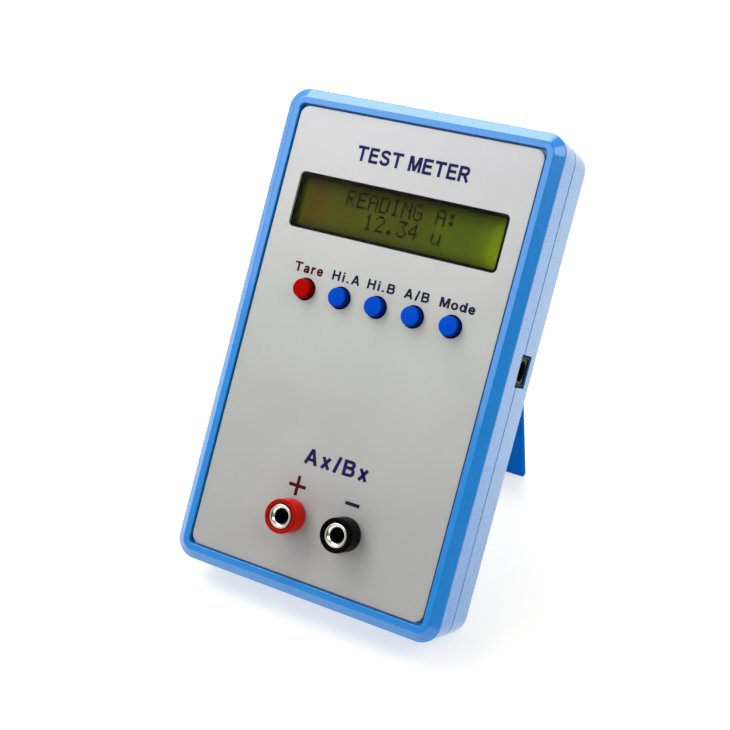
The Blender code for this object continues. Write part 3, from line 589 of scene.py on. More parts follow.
WHITE = (255, 255, 255)
# painted shade: tints that darken the push buttons' side walls against their tops
PAINTED_SHADE_RED_SIDES, PAINTED_SHADE_BLUE_SIDES = (150, 150, 150), (120, 120, 140)
MATERIALS = {
    "case_blue": plastic("case_blue_plastic", (4, 124, 204), 0.26, coat=0.5, mottle=0.02),
    "back_blue": plastic("back_blue_plastic", (40, 130, 200), 0.28, coat=0.6, mottle=0.02),
    "stand_blue": plastic("stand_blue_plastic", (8, 98, 184), 0.45, shine=0.0),
    "silver_panel": silver_paint(),
    "clear_window": clear_pane(),
    "black_plastic": plastic("black_plastic", (6, 6, 7), 0.32, shine=0.02),
    "grey_plastic": plastic("grey_plastic", (46, 47, 54), 0.45, shine=0.3),
    "black_frame": plastic("black_enamel", (9, 9, 10), 0.5, shine=0.3),
    "display_green": display_liquid(),
    "light_guide": plastic("milky_plastic", (215, 225, 190), 0.3, coat=0.3),
    "board_green": board_laminate(),
    # painted shade: the red sockets' faces that look out of the panel are darkened and greyed against their
    # sides
    "red_plastic": plastic("red_plastic", (186, 20, 8), 0.30, shine=0.04, painted_facing_tints=((205, 225, 225), WHITE)),
    # the buttons' side walls carry painted shade
    "button_red": plastic("button_red_plastic", (160, 3, 1), 0.38, shine=0.02, painted_facing_tints=(WHITE, PAINTED_SHADE_RED_SIDES)),
    "button_blue": plastic("button_blue_plastic", (0, 69, 188), 0.38, shine=0.02,
                           painted_facing_tints=(WHITE, PAINTED_SHADE_BLUE_SIDES)),
    "nickel": metal("nickel_plate", (214, 210, 202), 0.14),
    "socket_nickel": socket_nickel(),
    "steel": metal("zinc_steel", (168, 170, 174), 0.3),
    "copper_wire": wound_wire(),
    "cell_wrap_up": cell_wrap("cell_wrap_up", 1),
    "cell_wrap_down": cell_wrap("cell_wrap_down", -1),
    "print_navy": plastic("navy_ink", (26, 12, 76), 0.5, mottle=0.1, shine=0.15),
    "print_maroon": plastic("maroon_ink", (72, 6, 16), 0.5, mottle=0.1, shine=0.1),
    "print_black": plastic("black_ink", (30, 24, 52), 0.5, mottle=0.1, shine=0.1),
    "display_dots": plastic("display_dots", (32, 32, 8), 0.5, mottle=0.15, shine=0.05),
    "mask_black": plastic("mask_black", (7, 7, 10), 0.4, shine=0.08),
}


# Case

def screw_places():
    return [middle(f"case_screw_{i}") for i in range(1, 5)]


def hidden_posts():
    """Posts that the board and display screws bite into: place, lowest z, radius and bore radius."""
    board_z, display_z = [limits(node)[1].z + GAP for node in ("main_board", "lcd_board")]
    corner = middle("display_screw_1") - middle("lcd_board")
    corners = [middle("lcd_board") + Vector((sx * corner.x, sy * corner.y, 0))
               for sx in (-1, 1) for sy in (-1, 1)]
    return ([(middle(f"board_screw_{i}"), board_z, BOARD_POST_R, SMALL_SCREW_HOLE_R) for i in range(1, 5)]
            + [(at, display_z, DISPLAY_POST_R, SMALL_SCREW_HOLE_R) for at in corners])


def side_cutters():
    """Openings for the power inlet and for the power slider's travel."""
    inlet, slider = box(*limits("power_inlet"), GAP), box(*limits("power_slider"), GAP)
    travel = min(JOINTS["power_slide"]["range_m"]) / MM
    return (slab((HALF_W - 3.2, HALF_W + 1), *inlet[1:]),
            slab((-HALF_W - 1, -HALF_W + 3.2), (slider[1][0] + travel, slider[1][1]), slider[2]))


def button_nodes():
    return ["zero_button"] + [f"button_{i}" for i in range(2, 6)]


def hole(at, radius, z, sides=48):
    return lathe([(0, z[1]), (radius, z[1]), (radius, z[0]), (0, z[0])], (at.x, at.y, 0), sides)


def button_hole(node, z):
    return hole(middle(node), button_radius() + GAP, z)


def socket_holes(z):
    return [hole(middle(f"{tone}_socket_body"), SOCKET_NECK_R + GAP, z) for tone in ("red", "black")]


def inside(grow, z, edge=0.0, steps=8):
    """A block that fills the case between its walls and reaches grow into them."""
    return slab(span(0, HALF_W - WALL + grow), span(0, HALF_H - WALL + grow), z,
                CASE_RADIUS - WALL + grow, edge, steps)


def front_cover():
    """Rim with its wide chamfer, side walls, and the deck that carries the panel."""
    edge_inset = HALF_W - PANEL_HIGH.x - GAP
    profile = fillet([(1.0, FRONT_SEAM, 0), (0, FRONT_SEAM, 0.35), (0, RIM - CHAMFER_D, 0.7),
                      (CHAMFER_W, RIM, 0.6), (edge_inset, RIM, 0.15), (edge_inset, DECK_TOP, 0)], 5)
    through = (DECK_UNDER - 1, DECK_TOP + 0.5)
    cuts = [inside(0, (FRONT_SEAM - 1, DECK_UNDER)),
            inside(LIP_THICKNESS + GAP, (FRONT_SEAM - 2, SEAM + LIP_HEIGHT + GAP)),
            slab(*box(*limits("lcd_frame"), GAP)[:2], through), side_cutters()[0]]
    for node in button_nodes():
        flange_r = limits(node)[1].x - middle(node).x
        cuts.append(button_hole(node, through))
        cuts.append(hole(middle(node), flange_r + 0.4, (DECK_UNDER - 1.5, DECK_UNDER + 1.2)))
    cuts += socket_holes(through)
    shell = without(prism(HALF_W, HALF_H, CASE_RADIUS, profile, steps=20), *cuts)
    posts = [(at, FRONT_SEAM, CASE_POST_R, CASE_SCREW_HOLE_R) for at in screw_places()]
    for at, low, radius, bore in posts + hidden_posts():
        shell = combine(shell, [(ADD, hole(at, radius, (low, DECK_UNDER + 0.8), 24)),
                                (CUT, hole(at, bore, (low - 1, DECK_UNDER - 0.4), 24))])
    piece("front_cover", shell, "case_blue", stands_for="front_shell")


def stand_plan(y, grow=0.0):
    """Half width of the stand at a distance y above its hinge."""
    slope = (STAND_TOP_HALF_W - STAND_FOOT_HALF_W) / (STAND_LENGTH + STAND_HEEL)
    return STAND_TOP_HALF_W - slope * (STAND_HEEL - min(y, STAND_HEEL)) + grow


def tapered(y_low, y_high, profile, grow, radius, hinge=(0, 0)):
    """The stand's outline between two distances from the hinge, through (inset, height) pairs."""
    loops = []
    for inset, height in profile:
        top, low = y_high - inset, y_low + inset
        wide, narrow = stand_plan(y_high, grow) - inset, stand_plan(y_low, grow) - inset
        corner = max(radius - inset, 0.05)
        path = [(0, top, 0), (-wide, top, corner), (-narrow, low, corner), (narrow, low, corner),
                (wide, top, corner), (0, top, 0)]
        loops.append([Vector((a, b + hinge[0], height + hinge[1])) for a, b in fillet(path, 6)[:-1]])
    return loft(loops)


def under_floor():
    """Everything below the floor, in the row frame."""
    return slab(span(0, 0.06), (-0.03, 0.11), (-0.03, 0))


def rear_cover():
    """Back with the stand's well, the battery bay and its door seat, and the posts for the case screws."""
    profile = fillet([(1.0, SEAM, 0), (0, SEAM, 0.35), (0, 0, BACK_ROUNDING),
                      (BACK_ROUNDING + 1, 0, 0)], 6)
    shell = prism(HALF_W, HALF_H, CASE_RADIUS, reversed(profile), steps=20)
    inner_w, inner_h, inner_r = HALF_W - WALL, HALF_H - WALL, CASE_RADIUS - WALL
    groove_y = HINGE.y + GROOVE_TOP
    bay_high = bay_limits()[1]
    island_low = HINGE.y - STAND_LENGTH + STAND_BAR_H + WELL_GAP
    island_high = HINGE.y + STAND_WINDOW_TOP - WELL_GAP
    pin_bore = cylinder(HINGE_PIN_R + GAP, STAND_TOP_HALF_W + HINGE_PIN_REACH + GAP)
    door_bore = cylinder(DOOR_HINGE.z + 0.1, bay_high.x + DOOR_LEDGE + 1.5)
    countersunk = [(0, SEAM + 1), (CASE_SCREW_HOLE_R, SEAM + 1), (CASE_SCREW_HOLE_R, 2.8), (3.0, 2.8),
                   (3.0, 0.5), (3.5, -0.2), (3.5, -1), (0, -1)]
    steps = [
        (ADD, inside(LIP_THICKNESS, (SEAM - 1.2, SEAM + LIP_HEIGHT), 0.15, 20)),
        (CUT, inside(0, (WALL, RIM), 0, 20)),
        (ADD, slab(span(0, inner_w + 0.5), (-inner_h - 0.5, groove_y + 2.5), (1, WELL_FLOOR_TOP),
                   inner_r + 0.5, 0, 16)),
        (ADD, slab(span(0, inner_w + 0.4), (HINGE.y - 3.9, groove_y + 2.4), (1.2, HINGE_BLOCK_TOP))),
        (CUT, tapered(WELL_END, GROOVE_TOP, [(0, -1), (0, WELL_DEPTH)], WELL_GAP, 0.8, (HINGE.y, 0))),
        (CUT, slab(span(0, STAND_TOP_HALF_W + WELL_GAP), (HINGE.y - 3, groove_y), (-1.2, GROOVE_DEPTH))),
        (CUT, lathe(pin_bore, HINGE, 32, "X")),
        (ADD, slab(span(0, STAND_WINDOW_HALF_W - WELL_GAP), (island_low, island_high),
                   (0, WELL_FLOOR_TOP - 0.7), STAND_WINDOW_RADIUS - WELL_GAP)),
        (ADD, bay_block(BAY_WALL, (2.4, bay_high.z + 1))),
    ]
    for at in screw_places():
        steps.append((ADD, hole(at, CASE_POST_R, (1, SEAM), 32)))
        steps.append((CUT, lathe(countersunk, (at.x, at.y, 0), 40)))
    steps += [(CUT, tool) for tool in (
        bay_block(DOOR_LEDGE, (-1, limits("battery_door")[1].z - 0.4)),
        bay_block(0, (-1, bay_high.z), 0.6),
        lathe(door_bore, DOOR_HINGE, 24, "X"),
        lathe(cylinder(FINGER_NOTCH_R, 8.0), (0, HINGE.y + WELL_END - 0.6, -1.0), 40, "X"),
        *side_cutters(),
        moved(under_floor(), CASE.inverted()),
    )]
    piece("rear_cover", combine(shell, steps), "back_blue", stands_for="rear_shell", edge=0.2)


def bay_limits():
    """Inside of the battery bay. Its contacts and cells stand GAP clear of its walls."""
    low_plate, high_plate = limits("battery_contact_4"), limits("battery_contact_1")
    cell = limits("battery_1")[0], limits("battery_4")[1]
    low = Vector((cell[0].x - 0.4, low_plate[0].y - GAP, 0))
    high = Vector((cell[1].x + 0.4, high_plate[1].y + GAP, cell[1].z + 0.35))
    return low, high


def bay_block(grow, z, radius=0.0):
    """A block as wide and tall as the battery bay, grown outwards."""
    low, high = bay_limits()
    return slab(span(0, high.x + grow), (low.y - grow, high.y + grow), z, radius)


def cylinder(radius, half_length):
    return [(0, half_length), (radius, half_length), (radius, -half_length), (0, -half_length)]


def screws():
    for i in range(1, 5):
        cross_head(f"case_screw_{i}", *CASE_SCREW)
    for name in [f"board_screw_{i}" for i in range(1, 5)] + ["display_screw_1", "display_screw_2"]:
        cross_head(name, *SMALL_SCREW)


def cross_head(name, shank_r, head_h):
    """Pan-head screw with a cross recess and a threaded shank. Its head faces the back."""
    low, high = limits(name)
    head_r = (high.x - low.x) / 2
    centre = Vector((*middle(name).xy, 0))
    seat = low.z + head_h
    pitch = shank_r * 0.6
    turns = int((high.z - seat - shank_r) / pitch)
    profile = [(0, high.z), (shank_r * 0.55, high.z - 0.1)]
    for k in range(turns):
        crest = high.z - shank_r - pitch * k
        profile += [(shank_r * 0.82, crest + pitch * 0.35), (shank_r, crest)]
    profile += [(shank_r * 0.82, seat + 0.2), (shank_r * 0.82, seat)]
    dome = fillet([(shank_r, seat, 0), (head_r, seat, 0.12),
                   (head_r, low.z + head_h * 0.45, head_r * 0.12),
                   (head_r * 0.72, low.z, head_r * 0.25), (0, low.z, 0)], 4)
    body = lathe(profile + dome, centre, 36)
    recess_w, recess_l, depth = head_r * 0.2, head_r * 0.62, head_h * 0.62
    cutters = []
    for turn in (0, math.pi / 2):
        blade = slab(span(0, recess_l), span(0, recess_w / 2), (-0.5, depth))
        for vert in blade.vertices:
            if vert.co.z > 0:
                vert.co.x *= 0.45
        cutters.append(moved(blade, Matrix.Translation((centre.x, centre.y, low.z))
                             @ Matrix.Rotation(turn + 0.4, 4, "Z")))
    piece(name + "_piece", without(body, *cutters), "steel", stands_for=name)


# Front panel, its printing and the display

def face_panel():
    profile = fillet([(1, PANEL_LOW.z, 0), (0, PANEL_LOW.z, 0.1), (0, PANEL_HIGH.z, 0.18),
                      (1, PANEL_HIGH.z, 0)], 3)
    plate = prism(PANEL_HIGH.x - 0.15, PANEL_HIGH.y - 0.15, PANEL_RADIUS, profile, steps=14)
    through = (PANEL_LOW.z - 1, PANEL_HIGH.z + 1)
    window = slab(*box(*limits("display_window"), GAP)[:2], through, WINDOW_RADIUS, 0, 10)
    holes = [button_hole(node, through) for node in button_nodes()] + socket_holes(through)
    piece("face_panel", without(plate, window, *holes), "silver_panel", stands_for="front_panel",
          edge=0.12)


def line(*points):
    return [Vector(point) for point in points]


def stem(x, top=1, foot=0):
    return line((x, foot), (x, top))


def bar(left, right, y):
    return line((left, y), (right, y))


def ring(x, y, wide, high):
    """An oval line about a point."""
    angles = [k * math.pi / 12 for k in range(25)]
    return line(*[(x + wide * math.cos(a), y + high * math.sin(a)) for a in angles])


def smooth(*points, steps=5):
    """A line that passes through the points in a curve."""
    path = line(*points)
    ends = [2 * path[0] - path[1]] + path + [2 * path[-1] - path[-2]]
    fine = []
    for before, start, end, after in zip(ends, ends[1:], ends[2:], ends[3:]):
        for k in range(steps):
            t = k / steps
            fine.append(0.5 * (2 * start + (end - before) * t
                               + (2 * before - 5 * start + 4 * end - after) * t ** 2
                               + (3 * start - before - 3 * end + after) * t ** 3))
    return fine + [path[-1]]


STROKE = 0.20                   # thickness of a letter's lines, for capitals 1 tall
LETTERS = {                     # width and lines of each letter, for capitals 1 tall
    "T": (0.80, [bar(0, 0.80, 0.908), stem(0.40, 0.84)]),
    "E": (0.68, [stem(0.09), bar(0.15, 0.66, 0.908), bar(0.15, 0.62, 0.52), bar(0.15, 0.68, 0.092)]),
    "S": (0.72, [smooth((0.63, 0.74), (0.55, 0.87), (0.36, 0.91), (0.17, 0.85), (0.11, 0.72), (0.19, 0.60),
                        (0.37, 0.53), (0.56, 0.45), (0.62, 0.29), (0.54, 0.14), (0.36, 0.09), (0.16, 0.14),
                        (0.07, 0.29))]),
    "M": (0.90, [stem(0.09), stem(0.81), line((0.16, 0.98), (0.45, 0.06)),
                 line((0.74, 0.98), (0.45, 0.06))]),
    "R": (0.78, [stem(0.09), bar(0.15, 0.44, 0.908),
                 smooth((0.42, 0.908), (0.56, 0.88), (0.63, 0.72), (0.56, 0.53), (0.42, 0.49)),
                 bar(0.15, 0.44, 0.49), line((0.40, 0.46), (0.68, 0.02))]),
    "H": (0.76, [stem(0.09), stem(0.67), bar(0.15, 0.61, 0.52)]),
    "a": (0.62, [smooth((0.09, 0.53), (0.17, 0.63), (0.30, 0.66), (0.43, 0.61), (0.47, 0.48), (0.47, 0.20),
                        (0.53, 0.02)),
                 smooth((0.46, 0.40), (0.27, 0.37), (0.12, 0.29), (0.11, 0.14), (0.23, 0.08), (0.37, 0.12),
                        (0.46, 0.26))]),
    "r": (0.42, [stem(0.09, 0.74), smooth((0.11, 0.42), (0.17, 0.58), (0.28, 0.65), (0.42, 0.63))]),
    "e": (0.62, [smooth((0.55, 0.20), (0.46, 0.11), (0.32, 0.08), (0.15, 0.16), (0.09, 0.37), (0.15, 0.57),
                        (0.31, 0.65), (0.47, 0.57), (0.53, 0.37)), bar(0.13, 0.61, 0.36)]),
    "i": (0.19, [stem(0.09, 0.74), stem(0.09, foot=0.83)]),
    "o": (0.66, [ring(0.33, 0.37, 0.24, 0.285)]),
    "d": (0.66, [ring(0.30, 0.37, 0.21, 0.285), stem(0.57)]),
    "x": (0.62, [line((0.10, 0.01), (0.52, 0.73)), line((0.52, 0.01), (0.10, 0.73))]),
    "A": (0.80, [line((0.08, 0), (0.40, 0.97)), line((0.72, 0), (0.40, 0.97)), bar(0.20, 0.60, 0.30)]),
    "B": (0.74, [stem(0.09), bar(0.15, 0.42, 0.905),
                 smooth((0.40, 0.905), (0.55, 0.88), (0.60, 0.73), (0.54, 0.58), (0.40, 0.53)),
                 bar(0.15, 0.44, 0.53),
                 smooth((0.40, 0.53), (0.58, 0.48), (0.64, 0.31), (0.57, 0.14), (0.40, 0.095)),
                 bar(0.15, 0.42, 0.095)]),
    "/": (0.36, [line((0.07, -0.02), (0.30, 1.02))]),
    ".": (0.19, [stem(0.09, 0.19)]),
    " ": (0.20, []),
}


def ribbon(path, half):
    """Both sides of a line of even thickness."""
    sides = []
    for i, here in enumerate(path):
        along = path[min(i + 1, len(path) - 1)] - path[max(i - 1, 0)]
        across = Vector((-along.y, along.x)).normalized() * half
        sides.append((here + across, here - across))
    return sides


def words(text, x_low, x_high, baseline, cap_height, widening):
    """Raised print of a word that fills x_low to x_high, its capitals cap_height tall.

    Widening is the letters' own stretch; the spaces between them take up the rest of the width.
    """
    widths = [LETTERS[letter][0] for letter in text]
    stretch = cap_height * widening
    space = ((x_high - x_low) / stretch - sum(widths)) / (len(text) - 1)
    bottom, top = PRINT_Z
    strokes = []
    left = 0.0
    for letter, width in zip(text, widths):
        for path in LETTERS[letter][1]:
            loops = []
            for pair in ribbon(path, STROKE / 2):
                one, two = [((left + point.x) * stretch + x_low, point.y * cap_height + baseline)
                            for point in pair]
                loops.append([(*one, bottom), (*one, top), (*two, top), (*two, bottom)])
            strokes.append(loft(loops))
        left += width + space
    return joined(strokes)


def printing():
    buttons = [middle(node) for node in button_nodes()]
    red, black = middle("red_socket_body"), middle("black_socket_body")
    labels = [words(text, at.x + shift - width / 2, at.x + shift + width / 2, at.y + 4.6, 2.8, 1.14)
              for at, (text, shift, width) in zip(buttons, BUTTON_LABELS)]
    title = words("TEST METER", -16.8, 18.4, PANEL_HIGH.y - 13.0, 4.4, 0.97)
    terminals = words("Ax/Bx", -8.5, 11.9, red.y + 15.7, 4.6, 1.12)
    upright = slab(span(red.x - 0.2, 0.5), span(red.y + 8.8, 2.9), PRINT_Z, 0.1)
    level = slab(span(red.x - 0.2, 2.75), span(red.y + 8.8, 0.5), PRINT_Z, 0.1)
    minus = slab(span(black.x - 0.2, 2.25), span(black.y + 8.6, 0.5), PRINT_Z, 0.1)
    plus = combine(upright, [(ADD, level)])
    piece("panel_printing", joined([title, terminals]), "print_navy", "silver_panel")
    piece("red_printing", joined([plus, labels[0]]), "print_maroon", "silver_panel")
    piece("dark_printing", joined([minus] + labels[1:]), "print_black", "silver_panel")


def display():
    low, high = limits("display_window")
    pane = slab(*box(low, high), WINDOW_RADIUS - GAP, 0.12, 10)
    piece("display_pane", pane, "clear_window", stands_for="display_window")
    bottom, top = low.z - 0.28, low.z - 0.06
    centre_y = (low.y + high.y) / 2
    mask = slab(*box(low, high)[:2], (bottom, top), WINDOW_RADIUS - GAP, 0, 10)
    opening = slab(span(0, MASK_OPENING_W / 2), span(centre_y, MASK_OPENING_H / 2),
                   (bottom - 1, top + 1), 0.8, 0, 10)
    piece("display_mask", without(mask, opening), "mask_black", "black_frame")
    piece("display_characters", joined(display_dots(centre_y)), "display_dots", "display_green")


def display_dots(centre_y):
    """Dots of both rows of characters, standing on the display glass."""
    top = limits("lcd_glass")[1].z
    for (text, first_column), row_top in zip(DISPLAY_ROWS, (centre_y + 5.9, centre_y + 0.35)):
        for place, letter in enumerate(text):
            left = (first_column + place - DISPLAY_COLUMNS / 2) * CHARACTER_PITCH + 0.3
            for row, dots in enumerate(GLYPHS[letter].split()):
                for column, dot in enumerate(dots):
                    if dot == "#":
                        x = left + column * DOT_PITCH_X
                        y = row_top - row * DOT_PITCH_Y
                        yield slab((x, x + DOT_PITCH_X * 0.92), (y - DOT_PITCH_Y * 0.92, y),
                                   (top + 0.01, top + 0.05))


# Controls

def button_radius():
    """Radius of a button's cap. The flange, which the button's box shows, is wider all round."""
    low, high = limits("zero_button")
    return (high.x - low.x) / 2 - FLANGE_RIM


def push_buttons():
    for node in button_nodes():
        low, high = limits(node)
        at = middle(node)
        radius, flange = button_radius(), (high.x - low.x) / 2
        profile = fillet([(0, high.z, 0), (radius - 0.22, high.z, 0.5), (radius, low.z + FLANGE_T, 0.05),
                          (flange, low.z + FLANGE_T, 0.12), (flange, low.z, 0.12), (0, low.z, 0)], 6)
        finish, slot = "button_blue", "button_blue"
        if node == "zero_button":
            finish, slot = "button_red", "red_plastic"
        piece(node + "_cap", lathe(profile, (at.x, at.y, 0), 72), finish, slot, body=node, stands_for=node)


def sockets():
    face = PANEL_HIGH.z
    for tone, finish in (("red", "red_plastic"), ("black", "black_plastic")):
        low, high = limits(f"{tone}_socket_body")
        at = middle(f"{tone}_socket_body")
        radius, bore = (high.x - low.x) / 2, CONTACT_R + GAP
        outside = fillet([(bore + 0.01, high.z, 0), (radius - 0.02, high.z, 0.55),
                          (radius, face + GAP, 0.15), (SOCKET_NECK_R, face + GAP, 0),
                          (SOCKET_NECK_R, low.z, 0.2), (bore, low.z, 0)], 6)
        mouth = [(bore, high.z - 0.35), (bore + 0.12, high.z - 0.12), (bore + 0.3, high.z)]
        piece(f"{tone}_socket_shroud", lathe(mouth + outside[1:], (at.x, at.y, 0), 80, closed=True), finish,
              stands_for=f"{tone}_socket_body")
        bottom, top = box(*limits(f"{tone}_socket_contact"))[2]
        tube = [(0, BORE_END_Z), (SOCKET_BORE_R, BORE_END_Z), (SOCKET_BORE_R, top - 0.75),
                (SOCKET_BORE_R + 0.1, top - 0.55), (SOCKET_BORE_R + 0.62, top - 0.1),
                (SOCKET_BORE_R + 0.8, top), (CONTACT_R - 0.2, top), (CONTACT_R - 0.05, top - 0.06),
                (CONTACT_R, top - 0.22), (CONTACT_R, CONTACT_BACK_Z), (TAIL_R, CONTACT_BACK_Z),
                (TAIL_R, bottom + 0.2), (TAIL_R - 0.2, bottom), (0, bottom)]
        piece(f"{tone}_socket_sleeve", lathe(tube, (at.x, at.y, 0), 80), "socket_nickel", "nickel",
              stands_for=f"{tone}_socket_contact")


def power_inlet():
    """Barrel inlet: square housing, grey face plate in a shallow recess, round bore and centre pin."""
    low, high = limits("power_inlet")
    at = (high.x, (low.y + high.y) / 2, (low.z + high.z) / 2)
    frame_w, recess = 0.85, 0.7
    bore = [(0, 1), (INLET_BORE_R, 1), (INLET_BORE_R, -INLET_BORE_DEPTH), (0, -INLET_BORE_DEPTH)]
    pin = fillet([(0, -1.2, 0), (1.0, -1.2, 0.5), (1.0, -INLET_BORE_DEPTH - 1, 0),
                  (0, -INLET_BORE_DEPTH - 1, 0)])
    body = combine(slab(*box(low, high), 0.25, 0.25, 4), [
        (CUT, slab((high.x - recess, high.x + 1), *box(low, high, -frame_w)[1:])),
        (CUT, lathe(bore, at, 56, "X")), (ADD, lathe(pin, at, 32, "X"))])
    piece("power_inlet_housing", body, "black_plastic", stands_for="power_inlet", edge=0.1)
    plate = slab((high.x - recess + 0.02, high.x - recess + 0.4), *box(low, high, -frame_w - 0.1)[1:])
    opening = [(0, 2), (INLET_BORE_R + 0.12, 2), (INLET_BORE_R + 0.12, -3), (0, -3)]
    piece("power_inlet_face", without(plate, lathe(opening, at, 56, "X")), "grey_plastic",
          "black_plastic", edge=0.06)


def power_slider():
    """Slide switch knob with grip grooves across its outer end."""
    low, high = limits("power_slider")
    grooves = []
    for k in range(3):
        y = low.y + (high.y - low.y) * (k + 1) / 4
        grooves.append(slab((low.x - 1, low.x + 0.45), span(y, 0.22), (low.z - 1, high.z + 1)))
    piece("power_slider_knob", without(slab(*box(low, high), 0.3, 0.25, 4), *grooves), "black_plastic",
          body="power_slider", stands_for="power_slider", edge=0.07)


# Stand, door and batteries

def stand_leg():
    """Fold-out stand: a tapering frame on a barrel with a pin at each end, cut level at its foot."""
    low_z, high_z = -BARREL_R, STAND_T - BARREL_R
    profile = fillet([(2, low_z, 0), (0, low_z, 0.35), (0, high_z, 0.35), (2, high_z, 0)], 3)
    plate = tapered(-STAND_LENGTH - 3, STAND_HEEL, profile, 0, 0.6)
    window = slab(span(0, STAND_WINDOW_HALF_W), (-STAND_LENGTH + STAND_BAR_H, STAND_WINDOW_TOP),
                  (-5, 5), STAND_WINDOW_RADIUS)
    barrel_half = STAND_TOP_HALF_W - 0.4
    barrel = fillet([(0, barrel_half, 0), (BARREL_R, barrel_half, 0.3), (BARREL_R, -barrel_half, 0.3),
                     (0, -barrel_half, 0)], 3)
    pins = cylinder(HINGE_PIN_R, STAND_TOP_HALF_W + HINGE_PIN_REACH)
    leg = combine(plate, [(ADD, lathe(barrel, sides=48, axis="X")), (ADD, lathe(pins, sides=32, axis="X")),
                          (CUT, window), (CUT, moved(under_floor(), STAND.inverted()))])
    piece("stand_leg", leg, "stand_blue", place=STAND, body="stand", stands_for="stand", edge=0.25)


def door():
    """Battery cover: rounded lower edge with two short pins, grip grooves and a small latch at the top."""
    radius = DOOR_HINGE.z
    half_w = bay_limits()[1].x + DOOR_LEDGE - GAP
    length = limits("battery_door")[1].y - DOOR_HINGE.y
    plate = slab(span(0, half_w), (0, length), span(0, radius), 0.4, 0.22, 4)
    steps = [(ADD, lathe(cylinder(radius, half_w), sides=32, axis="X")),
             (ADD, lathe(cylinder(0.6, half_w + 1.5), sides=24, axis="X")),
             (ADD, slab(span(0, 4.0), (length - 3.4, length - 1.9), (0.2, 2.5), 0.3))]
    for k in range(5):
        groove = slab(span(0, 8.5 - 0.9 * k), span(length - 5.0 - 1.7 * k, 0.4),
                      (-radius - 1, 0.35 - radius), 0.39)
        steps.append((CUT, groove))
    piece("battery_cover", combine(plate, steps), "back_blue", place=DOOR, body="battery_door",
          stands_for="battery_door", edge=0.08)


def cells():
    for i in range(1, 5):
        low, high = limits(f"battery_{i}")
        radius, length = (high.x - low.x) / 2, high.y - low.y
        body_end = length / 2 - 1.0
        profile = fillet([(0, length / 2, 0), (1.9, length / 2, 0.25), (1.95, body_end + 0.1, 0.1),
                          (radius - 1.1, body_end - 0.15, 0.1), (radius - 0.9, body_end, 0.1),
                          (radius, body_end, 0.45), (radius, -length / 2, 0.5),
                          (radius - 1.0, -length / 2, 0.1), (radius - 1.2, -length / 2 + 0.2, 0.05),
                          (0, -length / 2 + 0.2, 0)], 4)
        way, turn = ("up", 0) if i % 2 else ("down", math.pi)
        place = CASE @ Matrix.Translation((low + high) / 2) @ Matrix.Rotation(turn, 4, "X")
        piece(f"cell_{i}", lathe(profile, axis="Y"), f"cell_wrap_{way}", "cell_wrap", place=place,
              stands_for=f"battery_{i}")


def springs():
    """Tapering coils between the contact plates and the cells' flat ends."""
    for i in range(1, 5):
        low, high = limits(f"battery_spring_{i}")
        axis = middle(f"battery_{i}")
        towards = 1 if i % 2 else -1
        wire, wide, narrow, turns, per_turn = 0.35, 3.6, 2.4, 3, 28
        length = high.y - low.y - 2 * wire
        base = low.y + wire if towards > 0 else high.y - wire
        curve = bpy.data.curves.new("coil", "CURVE")
        curve.dimensions = "3D"
        curve.bevel_depth = wire
        curve.bevel_resolution = 3
        curve.use_fill_caps = True
        coil = curve.splines.new("POLY")
        count = turns * per_turn
        coil.points.add(count)
        for k, point in enumerate(coil.points):
            share, angle = k / count, 2 * math.pi * k / per_turn
            radius = wide + (narrow - wide) * share
            point.co = (axis.x + radius * math.cos(angle), base + length * share * towards,
                        axis.z + radius * math.sin(angle), 1)
        bm = bmesh.new()
        bm.from_mesh(evaluated(linked("coil", curve)))
        bmesh.ops.remove_doubles(bm, verts=bm.verts, dist=0.001)
        piece(f"coil_{i}", finished(bm), "nickel", stands_for=f"battery_spring_{i}", sharp=60)


# CAD nodes that stay: they get their finish and softened edges

KEPT_NODES = {
    "black_frame": ["lcd_frame"],
    "display_green": ["lcd_glass"],
    "light_guide": ["lcd_light_guide"],
    "board_green": ["lcd_board", "main_board"],
    "black_plastic": ["lcd_link", "controller_chip", "oscillator_chip", "range_relay", "power_switch",
                      *[f"key_switch_{i}" for i in range(1, 6)]],
    "nickel": ["crystal_can", *[f"battery_contact_{i}" for i in range(1, 6)]],
    "copper_wire": ["reference_coil"],
    "steel": ["red_socket_nut", "black_socket_nut"],
}


def kept_nodes():
    for finish, nodes in KEPT_NODES.items():
        for obj in [frame["nodes"][node] for node in nodes]:
            obj.material_slots[0].material = MATERIALS[finish]
            soften(obj, 0.12)


# Stage, light and camera

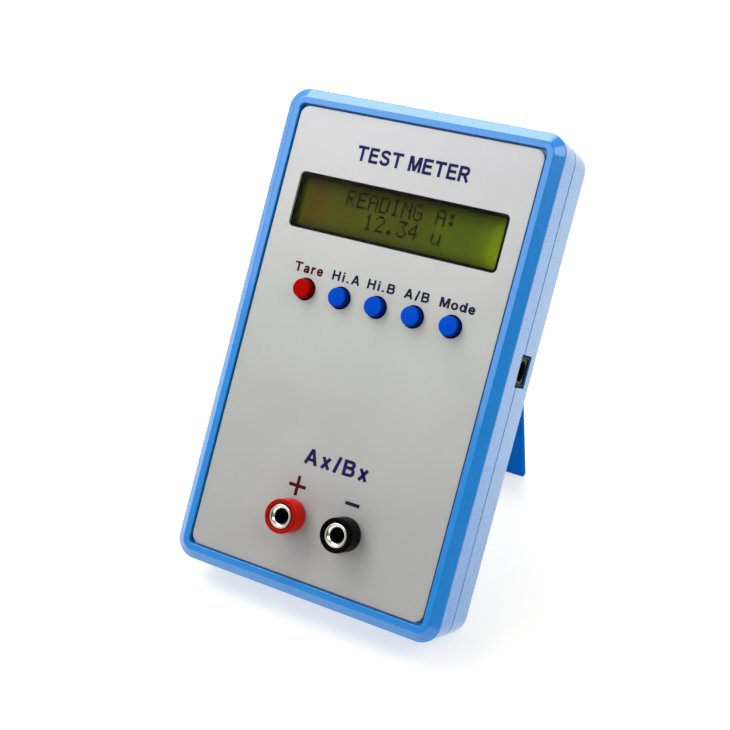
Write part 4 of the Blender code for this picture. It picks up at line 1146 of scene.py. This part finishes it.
def stage_floor():
    bm = bmesh.new()
    bmesh.ops.create_grid(bm, x_segments=1, y_segments=1, size=6.0)
    obj = linked("floor", finished(bm))
    finish = Finish("floor_white", Roughness=0.85, Emission_Color=(1, 1, 1, 1),
                    Emission_Strength=FLOOR_GLOW)
    finish.feed(Base_Color=finish.clouds(90.0, (188, 184, 175), (192, 188, 179)))
    obj.data.materials.append(finish.mat)


def surroundings(towards_camera):
    """White surroundings. In the light and in mirrors they are darker behind the camera."""
    world = bpy.data.worlds.new("studio")
    bpy.context.scene.world = world
    made = Nodes(world)
    behind = made.dot(made.node("TexCoord", "Generated"), towards_camera)
    lighting = made.span(behind, 0.55, 0.9, WORLD_LIGHT, WORLD_DARK)
    by_camera = made.node("LightPath", "Is Camera Ray")
    strength = made.node("Mix", "Result", {"Factor": by_camera, "A": lighting, "B": 1.0})
    background = made.nodes["Background"].inputs
    made.put(background["Strength"], strength)
    made.put(background["Color"], (1, 1, 1, 1))


def aim(obj, target, direction, distance):
    """Stand a light or camera off the target in a direction, looking back at it."""
    obj.location = target + direction * distance
    obj.rotation_euler = direction.to_track_quat("Z", "Y").to_euler()


def softbox(name, direction, distance, size, watts, target):
    light = bpy.data.lights.new(name, "AREA")
    light.shape = "RECTANGLE"
    light.size, light.size_y = size
    light.energy = watts
    aim(linked(name, light), target, Vector(direction).normalized(), distance)


def camera():
    """Looks at CAMERA_AIM, near the middle of the panel, from the right and above."""
    azimuth, elevation = math.radians(CAMERA_AZIMUTH), math.radians(CAMERA_ELEVATION)
    back = Vector((math.sin(azimuth) * math.cos(elevation), -math.cos(azimuth) * math.cos(elevation),
                   math.sin(elevation)))
    target = CASE @ Vector((*CAMERA_AIM, PANEL_HIGH.z))
    data = bpy.data.cameras.new("camera")
    data.sensor_width, data.lens = 36.0, CAMERA_LENS
    data.clip_start = 0.01
    obj = linked("camera", data)
    aim(obj, target, back, CAMERA_DISTANCE)
    bpy.context.scene.camera = obj
    return back, target


def studio():
    stage_floor()
    towards_camera, target = camera()
    surroundings(towards_camera)
    for name, direction, distance, size, watts in SOFTBOXES:
        softbox(name, direction, distance, size, watts, target)
    bpy.context.scene.view_settings.view_transform = "Standard"


front_cover()
rear_cover()
screws()
face_panel()
printing()
display()
push_buttons()
sockets()
power_inlet()
power_slider()
stand_leg()
door()
cells()
springs()
kept_nodes()
studio()
